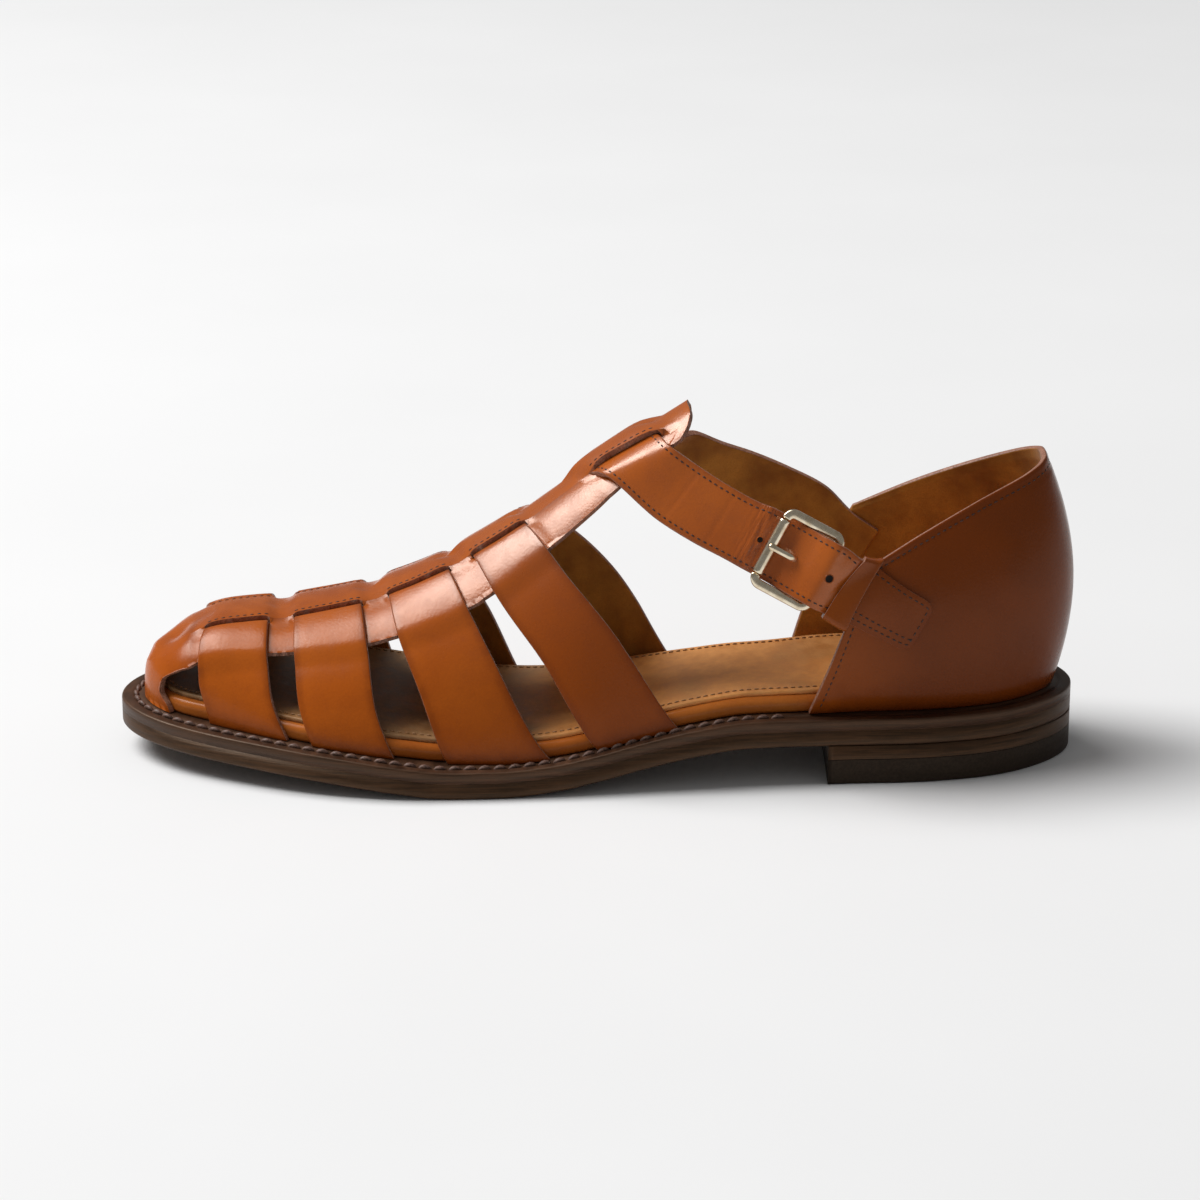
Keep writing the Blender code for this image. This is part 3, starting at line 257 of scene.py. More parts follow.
# Where each edge of a cross strap lies: its station at the welt, low and high on the side, and on
# the ridge. GIRTHS are the places of these four, from the welt (0) to the ridge (1).
GIRTHS = (0.0, 0.3, 0.6, 1.0)
STRAP_EDGES = [
    ("edge", "side", "welt", "low", "high", "ridge"),
    ("ankle_back", "outer", 0.372, 0.382, 0.404, 0.452),
    ("ankle_front", "outer", 0.410, 0.420, 0.447, 0.517),
    ("band_4_back", "outer", 0.413, 0.473, 0.536, 0.588),
    ("band_4_front", "outer", 0.495, 0.545, 0.599, 0.640),
    ("band_3_back", "outer", 0.544, 0.589, 0.629, 0.664),
    ("band_3_front", "outer", 0.651, 0.677, 0.705, 0.724),
    ("band_2_back", "outer", 0.708, 0.730, 0.739, 0.752),
    ("band_2_front", "outer", 0.797, 0.813, 0.818, 0.822),
    ("band_1_back", "outer", 0.824, 0.843, 0.848, 0.850),
    ("band_1_front", "outer", 0.912, 0.924, 0.924, 0.918),
    ("ankle_back", "inner", 0.372, 0.382, 0.404, 0.452),
    ("ankle_front", "inner", 0.410, 0.420, 0.447, 0.517),
    ("band_4_back", "inner", 0.412, 0.467, 0.530, 0.588),
    ("band_4_front", "inner", 0.530, 0.567, 0.604, 0.640),
    ("band_3_back", "inner", 0.570, 0.602, 0.636, 0.664),
    ("band_3_front", "inner", 0.665, 0.685, 0.706, 0.724),
    ("band_2_back", "inner", 0.715, 0.731, 0.741, 0.752),
    ("band_2_front", "inner", 0.800, 0.811, 0.817, 0.822),
    ("band_1_back", "inner", 0.832, 0.843, 0.848, 0.850),
    ("band_1_front", "inner", 0.920, 0.928, 0.930, 0.918),
]

# Edge of the toe piece, along the opening between it and band 1: the station at each girth.
TOE_EDGE = [
    ("girth", "outer", "inner"),
    (0.00, 0.958, 0.962),
    (0.10, 0.972, 0.972),
    (0.22, 0.970, 0.970),
    (0.34, 0.953, 0.955),
    (0.43, 0.934, 0.940),
    (0.60, 0.938, 0.942),
    (1.00, 0.945, 0.945),
]

# The rim of the heel counter, from the middle of the back (0) to its front corner (1): station,
# half width as a share of BALL_WIDTH, and height as a share of HEEL_WALL_HEIGHT.
RIM = [
    ("along", "station", "width", "height"),
    (0.00, 0.036, 0.000, 1.000),
    (0.05, 0.0365, 0.040, 0.998),
    (0.12, 0.0405, 0.080, 0.990),
    (0.25, 0.056, 0.133, 0.968),
    (0.50, 0.108, 0.205, 0.900),
    (0.75, 0.165, 0.270, 0.815),
    (1.00, 0.226, 0.326, 0.712),
    (1.30, 0.300, 0.365, 0.600),
]
COUNTER_FRONT = {"outer": 0.280, "inner": 0.300}
COUNTER_BULGE = 7.4 * MM
COUNTER_SIDE_BULGE = 0.55

# The ankle strap between the spine and the buckle, or the counter on the inner side: station,
# distance out from the axis as a share of BALL_WIDTH and height as a share of INSTEP_HEIGHT, first
# of its upper edge and then of its lower edge.
STRAP_RUN = [
    ("along", "upper_station", "upper_out", "upper_height", "lower_station", "lower_out", "lower_height"),
    (0.00, 0.394, 0.195, 0.852, 0.437, 0.232, 0.712),
    (0.30, 0.366, 0.232, 0.812, 0.402, 0.278, 0.664),
    (0.65, 0.335, 0.268, 0.775, 0.368, 0.312, 0.624),
    (0.82, 0.295, 0.298, 0.722, 0.325, 0.334, 0.567),
    (1.00, 0.255, 0.318, 0.660, 0.285, 0.346, 0.508),
]

SIDES = {"outer": -1, "inner": 1}


def half_width(turn):
    """Signed half width of the sole at an angle around it: 0 at the heel, pi at the toe."""
    station = (1 - np.cos(turn)) / 2
    outer = column(OUTLINE, "outer", station)
    inner = column(OUTLINE, "inner", station)
    return BALL_WIDTH * np.where(np.sin(turn) < 0, outer, inner) * np.sin(turn)


def middle_of_outline():
    turn = np.linspace(0, 2 * np.pi, 721)
    widths = half_width(turn)
    return (widths.max() + widths.min()) / 2


AXIS_Y = -middle_of_outline()


def edge(turn, inset):
    """Plan point on the sole's outline at an angle around it, moved in by the inset."""
    turn = np.asarray(turn, float)
    small = 1e-4

    def on_edge(angle):
        return np.stack([LENGTH / 2 * np.cos(angle), half_width(angle) + AXIS_Y], -1)

    along = on_edge(turn + small) - on_edge(turn - small)
    out = np.stack([along[..., 1], -along[..., 0]], -1)
    out /= np.linalg.norm(out, axis=-1, keepdims=True)
    return on_edge(turn) - out * np.asarray(inset)[..., None]


def station_of(x):
    return np.clip(0.5 - x / LENGTH, 0, 1)


def turn_at(station, side):
    """The angle around the sole of a station, on one side (-1 outer, 1 inner)."""
    return side * np.arccos(1 - 2 * np.asarray(station, float))


def sole_underside(station):
    return HEEL_RISE * column(PROFILE, "heel", station) + TOE_SPRING * column(PROFILE, "toe", station)


def welt_top(station):
    return sole_underside(station) + OUTSOLE_THICKNESS + CLEARANCE + WELT_THICKNESS


def upper_inset(station):
    return UPPER_MARGIN * column(MARGIN, "share", station)


def last_point(turn, girth):
    """Point on the outer face of a single layer of the upper over the foot."""
    turn = np.asarray(turn, float)
    girth = np.asarray(girth, float)
    foot = edge(turn, upper_inset((1 - np.cos(turn)) / 2))
    station = station_of(foot[..., 0])
    foot_z = welt_top(station) + CLEARANCE
    ridge_station = station - TOE_FAN_DEPTH * np.maximum(0, station - TOE_FAN) ** 2
    ridge_y = AXIS_Y + BALL_WIDTH * column(LAST, "lean", ridge_station)
    ridge_z = INSTEP_HEIGHT * column(LAST, "ridge", ridge_station)
    ridge = np.stack([LENGTH * (0.5 - ridge_station), ridge_y], -1)
    angle = (1 - girth) * np.pi / 2
    reach = np.sin(angle) ** column(LAST, "across", station)
    climb = np.cos(angle) ** column(LAST, "rise", station)
    plan = ridge + (foot - ridge) * reach[..., None]
    return np.concatenate([plan, (foot_z + (ridge_z - foot_z) * climb)[..., None]], -1)


def unit(vector):
    return vector / np.linalg.norm(vector, axis=-1, keepdims=True)


def run_lengths(points):
    """How far along a row of points each of them lies."""
    return np.concatenate([[0], np.cumsum(np.linalg.norm(np.diff(points, axis=0), axis=1))])


def levelled(normal):
    """The direction without its rise, so that a wall's foot stays on one height."""
    return unit(normal * np.array([1.0, 1.0, 0.0]))


def side_normal(turn, girth):
    small_turn = 0.01
    low = np.clip(girth - 0.015, 0.0, 0.97)
    high = low + 0.03
    along = last_point(turn + small_turn, (low + high) / 2) - last_point(turn - small_turn, (low + high) / 2)
    up = last_point(turn, high) - last_point(turn, low)
    return unit(np.cross(along, up))


def last_normal(turn, girth):
    """Outward normal of the last. On the ridge it is the mean of the two sides."""
    own = side_normal(turn, girth)
    other = side_normal(-turn, girth)
    share = np.clip((np.asarray(girth, float) - 0.85) / 0.15, 0, 1)[..., None] / 2
    return unit(own * (1 - share) + other * share)


EDGE_CURVES = {(row[0], row[1]): Curve(GIRTHS, row[2:]) for row in STRAP_EDGES[1:]}


# The weave, the ankle strap and the buckle, as in the part

FLAP_END = 0.401
FLAP_ROUND = 0.010
SPINE_SHARE = 0.55
STACK_SPAN = 3 * MM
STRAP_TOP = 3 * CLEARANCE + CHAPE_THICKNESS + ANKLE_STRAP_THICKNESS
STRAP_OVER_BAR = HINGE_DIAMETER / 2 + 2 * CLEARANCE + CHAPE_THICKNESS + ANKLE_STRAP_THICKNESS
HOLE_FRONT = -2.2 * MM
HOLE_BACK = 1.8 * MM
BUCKLE_RUN_ROWS = [
    ("along", "rise"),
    (-1.50, -0.36),
    (-1.00, -0.37),
    (-0.58, -0.25),
    (HOLE_FRONT / FRAME_LENGTH * 2, 0.05),
    (HOLE_BACK / FRAME_LENGTH * 2, 0.43),
    (0.58, 0.78),
    (1.00, 1.00),
    (1.29, 0.88),
]
STACK_ROWS = (KEEPER_START, KEEPER_START + KEEPER_WIDTH / 2, KEEPER_START + KEEPER_WIDTH - MM)
INNER_END = [
    ("along", "upper_station", "upper_height", "lower_station", "lower_height"),
    (0.00, 0.222, 0.575, 0.250, 0.425),
    (1.00, 0.198, 0.532, 0.230, 0.385),
]
HOLE_AFTER = 10.3 * MM
HOLE_BEFORE = -12.6 * MM
PRONG_SHAPE = [
    ("along", "rise"),
    (1.10, -0.72),
    (0.96, -0.80),
    (0.69, -0.98),
    (0.40, -1.12),
    (0.14, -0.85),
    (-0.02, -0.20),
    (-0.12, 0.48),
    (-0.25, 0.86),
    (-0.45, 0.98),
    (-0.70, 1.02),
    (-1.12, 1.03),
]
CHAPE_TAB = [
    ("along", "width", "drop"),
    (0.36, 0.96, 0.00),
    (0.43, 0.97, 0.02),
    (0.50, 0.98, 0.04),
    (0.62, 0.94, 0.10),
    (0.80, 0.89, 0.16),
    (0.96, 0.86, 0.18),
    (1.00, 0.74, 0.18),
]


# The buckle's directions and the counter's surface, as in the part


def buckle_axes():
    run = unit(np.array(BUCKLE_RUN))
    out = unit(np.cross(run, np.array(BUCKLE_ACROSS)))
    across = np.cross(out, run)
    middle = np.array([LENGTH * (0.5 - BUCKLE_STATION), AXIS_Y - BUCKLE_OUT, BUCKLE_HEIGHT])
    return middle, run, across, out


def buckle_points(along, across, out):
    """Points given in the buckle's own directions."""
    middle, run, bars, away = buckle_axes()
    along, across, out = np.broadcast_arrays(*[np.asarray(v, float) for v in (along, across, out)])
    return middle + run * along[..., None] + bars * across[..., None] + away * out[..., None]


def counter_points(along, up, side_name):
    """Points on the counter's outer face: along is 0 at the back and 1 at the front edge."""
    along, up = np.broadcast_arrays(np.asarray(along, float), np.asarray(up, float))
    side = SIDES[side_name]
    turn = side * math.acos(1 - 2 * COUNTER_FRONT[side_name]) * along
    station = (1 - np.cos(turn)) / 2
    foot = edge(turn, upper_inset(station))
    foot_z = welt_top(station_of(foot[..., 0])) + CLEARANCE
    rim_x = LENGTH * (0.5 - column(RIM, "station", along))
    rim_y = AXIS_Y + side * BALL_WIDTH * column(RIM, "width", along)
    rim_z = HEEL_WALL_HEIGHT * column(RIM, "height", along)
    out = unit(foot - edge(turn, upper_inset(station) + MM))
    side_share = 1 - (1 - COUNTER_SIDE_BULGE) * np.minimum(along, 1)
    bulge = COUNTER_BULGE * side_share * np.sin(np.pi * np.clip(up, 0, 1)) ** 0.9
    share = up[..., None]
    plan = foot * (1 - share) + np.stack([rim_x, rim_y], -1) * share + out * bulge[..., None]
    return np.concatenate([plan, (foot_z + (rim_z - foot_z) * up)[..., None]], -1)


def counter_at(station, height, side_name):
    """Points of the counter's outer face, or of the flank that carries it on, at these stations and
    heights."""
    station, height = np.broadcast_arrays(np.asarray(station, float), np.asarray(height, float))
    along = station / COUNTER_FRONT[side_name]
    up = np.full_like(along, 0.6)
    small = 0.002
    for _ in range(9):
        here = counter_points(along, up, side_name)
        by_along = (counter_points(along + small, up, side_name) - here) / small
        by_up = (counter_points(along, up + small, side_name) - here) / small
        miss_x = LENGTH * (0.5 - station) - here[..., 0]
        miss_z = height - here[..., 2]
        size = by_along[..., 0] * by_up[..., 2] - by_up[..., 0] * by_along[..., 2]
        along_move = (miss_x * by_up[..., 2] - by_up[..., 0] * miss_z) / size
        up_move = (by_along[..., 0] * miss_z - by_along[..., 2] * miss_x) / size
        along = np.clip(along + np.clip(along_move, -0.2, 0.2), 0.0, 1.29)
        up = np.clip(up + np.clip(up_move, -0.2, 0.2), 0.0, 1.5)
    return counter_points(along, up, side_name)


def counter_below(along, across):
    plane = buckle_points(along, across, 0.0)
    return counter_at(station_of(plane[..., 0]), plane[..., 2], "outer")


def stack_points(along, across, rise):
    """Points this far above the counter's outer face, its slope evened out over STACK_SPAN."""
    run = counter_below(along + STACK_SPAN, across) - counter_below(along - STACK_SPAN, across)
    bars = counter_below(along, across + STACK_SPAN) - counter_below(along, across - STACK_SPAN)
    normals = unit(np.cross(run, bars))
    return counter_below(along, across) + normals * np.asarray(rise)[..., None]


def run_point(side_name, along, share):
    """Points of the free ankle strap, from the spine to the buckle or the counter."""
    side = SIDES[side_name]
    ends = []
    for name in ("upper", "lower"):
        station = column(STRAP_RUN, name + "_station", along)
        out = column(STRAP_RUN, name + "_out", along)
        height = column(STRAP_RUN, name + "_height", along)
        place = [LENGTH * (0.5 - station), AXIS_Y + side * BALL_WIDTH * out, INSTEP_HEIGHT * height]
        ends.append(np.array([float(value) for value in place]))
    share = np.asarray(share, float)[..., None]
    return ends[0] * (1 - share) + ends[1] * share


# Meshes


def smooth_step(x):
    x = np.clip(x, 0.0, 1.0)
    return x * x * (3 - 2 * x)


def edge_tone(across, start=0.80):
    """How dark a strap is worked at each place across it, from -1 to 1."""
    return smooth_step((np.abs(across) - start) / (1 - start))


def groove(distance, middle, depth, half):
    """The height of a pressed line, or of a raised one where the depth is negative."""
    return -depth * np.exp(-(((distance - middle) / half) ** 2))


def through(keys, count):
    """A smooth curve through the key points, with this many points spaced along it. Keys are
    (rows, ..., 3), and every column is carried on the same way."""
    keys = np.asarray(keys, float)
    flat = keys.reshape(len(keys), -1, 3)
    steps = np.linalg.norm(np.diff(flat, axis=0), axis=2).mean(1)
    knots = np.concatenate([[0], np.cumsum(steps)])
    slopes = np.zeros_like(keys)
    for i in range(len(keys)):
        if 0 < i < len(keys) - 1:
            before = (keys[i] - keys[i - 1]) / (knots[i] - knots[i - 1])
            after = (keys[i + 1] - keys[i]) / (knots[i + 1] - knots[i])
            near = (knots[i] - knots[i - 1]) / (knots[i + 1] - knots[i - 1])
            slopes[i] = before * (1 - near) + after * near
    slopes[0] = (keys[1] - keys[0]) / (knots[1] - knots[0])
    slopes[-1] = (keys[-1] - keys[-2]) / (knots[-1] - knots[-2])
    x = np.linspace(0, knots[-1], count)
    i = np.clip(np.searchsorted(knots, x, side="right") - 1, 0, len(keys) - 2)
    size = knots[i + 1] - knots[i]
    t = (x - knots[i]) / size
    shape = (-1,) + (1,) * (keys.ndim - 1)
    t = t.reshape(shape)
    size = size.reshape(shape)
    start = (2 * t**3 - 3 * t**2 + 1) * keys[i] + (t**3 - 2 * t**2 + t) * size * slopes[i]
    end = (3 * t**2 - 2 * t**3) * keys[i + 1] + (t**3 - t**2) * size * slopes[i + 1]
    return start + end


def grid_normals(points):
    rows = np.gradient(points, axis=0)
    columns = np.gradient(points, axis=1)
    return unit(np.cross(rows, columns) + 1e-15)


def piece(name, points, faces, looks, marks=None, tones=None, weld=True):
    """A smooth mesh that rides on the shoe. Looks are its materials, marks the one of each face."""
    points = np.asarray(points, float)
    mesh = bpy.data.meshes.new(name)
    mesh.from_pydata([tuple(p) for p in points], [], [tuple(int(c) for c in face) for face in faces])
    for look in looks:
        mesh.materials.append(look)
    if marks is not None:
        mesh.polygons.foreach_set("material_index", np.asarray(marks, np.int32))
    mesh.polygons.foreach_set("use_smooth", np.ones(len(mesh.polygons), bool))
    for key, values in (tones or {}).items():
        layer = mesh.attributes.new(key, "FLOAT", "POINT")
        layer.data.foreach_set("value", np.asarray(values, np.float32).ravel())
    mesh.validate()
    made = bpy.data.objects.new(name, mesh)
    bpy.context.scene.collection.objects.link(made)
    if weld:
        join = made.modifiers.new("weld", "WELD")
        join.merge_threshold = 2e-6
    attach(made, "root")
    return made


EDGE_ANGLE = 38


def rounded(made, width):
    bevel = made.modifiers.new("edges", "BEVEL")
    bevel.width = width
    bevel.segments = 2
    bevel.limit_method = "ANGLE"
    bevel.angle_limit = math.radians(EDGE_ANGLE)
    bevel.harden_normals = False
    shade = made.modifiers.new("normals", "WEIGHTED_NORMAL")
    shade.keep_sharp = False
    return made


def slab(name, outer, inner, looks, keep=None, folded=False, width=0.35 * MM, tones=None):
    """A sheet with a thickness. Looks are those of its outer face, its cut edge and its back."""
    rows, columns = outer.shape[:2]
    size = rows * columns
    points = np.concatenate([outer.reshape(-1, 3), inner.reshape(-1, 3)])
    if keep is None:
        keep = np.ones((rows - 1, columns - 1), bool)
    around = np.zeros((rows + 1, columns + 1), bool)
    around[1:-1, 1:-1] = keep
    i, j = np.nonzero(keep)
    a = i * columns + j
    b = a + columns
    c = b + 1
    d = a + 1
    faces = [np.stack([a, b, c, d], 1), np.stack([a, d, c, b], 1) + size]
    marks = [np.zeros(len(a), int), np.full(len(a), 2)]
    sides = ((0, -1, a, b), (1, 0, b, c), (0, 1, c, d), (-1, 0, d, a))
    for down, right, start, end in sides:
        bare = ~around[i + 1 + down, j + 1 + right]
        if folded and right == 1:
            bare &= j + 1 < columns - 1
        s = start[bare]
        e = end[bare]
        faces.append(np.stack([e, s, s + size, e + size], 1))
        marks.append(np.full(len(s), 1))
    faces = np.concatenate(faces)
    used = np.zeros(len(points), bool)
    used[faces] = True
    new_place = np.cumsum(used) - 1
    values = {key: np.tile(np.ravel(tone), 2)[used] for key, tone in (tones or {}).items()}
    made = piece(name, points[used], new_place[faces], looks, np.concatenate(marks), tones=values)
    return rounded(made, width)


def lathe_rows(name, loops, looks, closed_rows=False, marks=None, caps=False):
    """A skin over loops of points, (loops, points, 3), each loop closed on itself."""
    loops = np.asarray(loops, float)
    count, size = loops.shape[:2]
    faces = []
    face_marks = []
    for i in range(count if closed_rows else count - 1):
        j = (i + 1) % count
        k = np.arange(size)
        n = (k + 1) % size
        faces.append(np.stack([i * size + k, i * size + n, j * size + n, j * size + k], 1))
        face_marks.append(np.full(size, 0 if marks is None else marks[i]))
    faces = [tuple(face) for face in np.concatenate(faces)]
    face_marks = list(np.concatenate(face_marks))
    if caps:
        faces.append(tuple(range(size - 1, -1, -1)))
        faces.append(tuple((count - 1) * size + k for k in range(size)))
        face_marks += [face_marks[0], face_marks[-1]]
    return piece(name, loops.reshape(-1, 3), faces, looks, face_marks)


# Stitches

CAPSULE = ((-1.0, 0.0), (-0.86, 0.55), (-0.5, 0.9), (0.0, 1.0), (0.5, 0.9), (0.86, 0.55), (1.0, 0.0))


def spaced(points, normals, pitch):
    """Middles, directions and normals of stitches at this pitch along a line of points."""
    lengths = run_lengths(points)
    count = max(1, int(lengths[-1] / pitch))
    places = (np.arange(count) + 0.5) * lengths[-1] / count

    def read(at, values):
        return np.stack([np.interp(at, lengths, values[:, k]) for k in range(3)], -1)

    middle = read(places, points)
    ahead = read(np.minimum(places + pitch / 4, lengths[-1]), points)
    behind = read(np.maximum(places - pitch / 4, 0), points)
    return middle, unit(ahead - behind), unit(read(places, normals))


def stitches(name, lines, look, slot, pitch, length, width, height, sink=0.35, slant=0.0):
    """Raised stitches along lines of (points, normals), joined in one mesh."""
    points = []
    faces = []
    ring = 6
    angles = np.linspace(0, 2 * np.pi, ring, endpoint=False)
    for line_points, line_normals in lines:
        middles, runs, normals = spaced(np.asarray(line_points), np.asarray(line_normals), pitch)
        for middle, run, normal in zip(middles, runs, normals):
            side = unit(np.cross(normal, run))
            run = unit(run + side * slant)
            side = unit(np.cross(normal, run))
            base = len(points)
            for along, thick in CAPSULE:
                centre = middle + run * along * length / 2 + normal * (height * (0.35 - sink * along**2))
                for angle in angles:
                    away = side * math.cos(angle) * width / 2 * thick
                    points.append(centre + away + normal * math.sin(angle) * height * thick)
            for level in range(len(CAPSULE) - 1):
                for k in range(ring):
                    n = (k + 1) % ring
                    row = base + level * ring
                    faces.append((row + k, row + n, row + ring + n, row + ring + k))
    return piece(name, points, faces, [look], weld=False)


# Lines across the spine: each gives the station at a girth, on one side


def edge_line(name, nudge=0.0):
    return lambda side_name, girth: EDGE_CURVES[(name, side_name)].at(girth) + nudge / LENGTH


def between(first, second, share):
    return lambda side_name, girth: first(side_name, girth) * (1 - share) + second(side_name, girth) * share


def toe_line(share):
    def place(side_name, girth):
        turn = turn_at(column(TOE_EDGE, side_name, girth), 1)
        turn = math.pi - (math.pi - turn) * share
        return (1 - np.cos(turn)) / 2

    return place


def wing_reach(station):
    return SPINE_WIDTH * column(WING, "reach", station)


GIRTH_STEPS = np.linspace(1, 0, 181)


def line_lengths(place, side_name):
    """How far down a line each girth lies from the ridge."""
    stations = place(side_name, GIRTH_STEPS)
    points = last_point(turn_at(stations, SIDES[side_name]), GIRTH_STEPS)
    return run_lengths(points)


def on_line(place, side_name, distances):
    """Points and normals on the last where a line lies these distances down from the ridge."""
    girths = np.interp(distances, line_lengths(place, side_name), GIRTH_STEPS)
    turns = turn_at(place(side_name, girths), SIDES[side_name])
    return last_point(turns, girths), last_normal(turns, girths), girths


def line_reach(place, side_name):
    """How far the spine's wing reaches along a line."""
    reach = float(wing_reach(place(side_name, 0.6)))
    return min(reach, SPINE_SHARE * line_lengths(place, side_name)[-1])


def flap_line(side_name, girth):
    lengths = line_lengths(lambda name, g: np.full_like(np.asarray(g, float), FLAP_END), side_name)
    distance = np.interp(-np.asarray(girth, float), -GIRTH_STEPS, lengths)
    share = np.minimum(distance / float(wing_reach(FLAP_END)), 1.0)
    tip = FLAP_TIP * (1 - smooth_step(distance / FLAP_TIP_REACH))
    return FLAP_END + tip + FLAP_ROUND * 1.6 * share**5


def clear_of_flap(place, gap):
    """A line held this far in front of the flap's end."""
    return lambda side_name, girth: np.maximum(
        place(side_name, girth), flap_line(side_name, girth) + gap / LENGTH
    )


FLAP_TIP = 0.004
FLAP_TIP_REACH = 9 * MM
FLAP_GAP = 3.0 * MM


# How far before (-) or inside (+) a band's edge each line of the spine lies, and the share of the
# strip's rise that it has there.
RAMP = [
    ("into_band", "rise"),
    (-3.4 * MM, 0.00),
    (-2.4 * MM, 0.10),
    (-1.4 * MM, 0.34),
    (-0.4 * MM, 0.62),
    (0.6 * MM, 0.84),
    (1.8 * MM, 0.97),
]
SINKS = (0.05, 0.25, 0.60, 0.90, 1.0, 1.0)
# How far the wing stays pressed in between two bands that lie close together
SHORT_GAP_SINK = 0.9
SLOT_START = -0.4 * MM
BAND_RISE = 1.5 * MM
ANKLE_RISE = 2.8 * MM
ANKLE_STRETCH = 1.6


def spine_lines():
    """(place, rise, sink, slot) of each line from the flap to the toe. Sink is how far the wing is
    pressed in, and slot how far the line lies into a slot, or None outside one."""
    lines = []
    gap_start = flap_line
    for number in ("ankle", "band_4", "band_3", "band_2", "band_1"):
        stretch = ANKLE_STRETCH if number == "ankle" else 1.0
        rise = ANKLE_RISE if number == "ankle" else BAND_RISE
        first = edge_line(number + "_back", RAMP[1][0] * stretch)
        if number == "ankle":
            first = clear_of_flap(first, FLAP_GAP)
        extra = {"ankle": 9, "band_4": 6}.get(number, 2)
        least = 0.0 if number in ("ankle", "band_4") else SHORT_GAP_SINK
        for k in range(extra):
            lines.append((between(gap_start, first, k / extra), 0.0, least, None))
        for (into, share), sink in zip(RAMP[1:], np.maximum(SINKS, least)):
            slot = into - SLOT_START if into >= SLOT_START else None
            place = edge_line(number + "_back", into * stretch)
            if number == "ankle":
                place = clear_of_flap(place, FLAP_GAP + (into - RAMP[1][0]) * 0.5)
            lines.append((place, share * rise, sink, slot))
        inside = edge_line(number + "_back", RAMP[-1][0] * stretch)
        outside = edge_line(number + "_front", -RAMP[-1][0] * stretch)
        for k in range(1, 9):
            lines.append((between(inside, outside, k / 9), rise, 1.0, 1.0))
        least = 0.0 if number in ("ankle", "band_1") else SHORT_GAP_SINK
        for (into, share), sink in reversed(list(zip(RAMP[1:], np.maximum(SINKS, least)))):
            if number == "band_1" and into < SLOT_START:
                continue
            slot = into - SLOT_START if into >= SLOT_START else None
            if number == "band_1":
                share = 1 - (1 - share) * 0.6
            lines.append((edge_line(number + "_front", -into * stretch), share * rise, sink, slot))
        gap_start = lines[-1][0]
    toe_edge = toe_line(1.0)
    for share, rise, sink in ((0.33, 0.70, 0.6), (0.67, 0.62, 0.3)):
        lines.append((between(gap_start, toe_edge, share), rise * BAND_RISE, sink, None))
    for k in range(TOE_LINES):
        rise = 0.55 * (1 - smooth_step(k / 16))
        lines.append((toe_line(1 - k / (TOE_LINES - 1)), rise * BAND_RISE, 0.0, "toe"))
    return lines


STRIP_ROWS = (0.0, 1.8, 3.6, 5.4, 7.0, 8.4, 9.2)
WING_ROWS = 9
TOE_ROWS = 26
TOE_LINES = 27
WING_SINK = 0.45 * MM
LIP = 0.25 * MM
# The top of the toe's front is eased in a little, as the photo's outline shows
TOE_CORNER = np.array([-133.0, -4.0, 36.0]) * MM
TOE_CORNER_REACH = np.array([12.0, 26.0, 10.0]) * MM
TOE_CORNER_EASE = np.array([1.2, 0.0, -0.9]) * MM
# Each slot narrows by this much at its end, over the taper
SLOT_NARROW = 0.75 * MM
SLOT_TAPER = 1.4 * MM
# Without a slot, the strip goes over into the wing by these shares of its rise
STRIP_SHOULDER = (0.86, 0.62)
STRIP_FOOT = 0.22
FOOT_SINK = 0.6
# The seam beside a slot: the row before it, and how far it lies towards the next row
SLOT_SEAM_ROW = 4
SLOT_SEAM_SHARE = 0.8


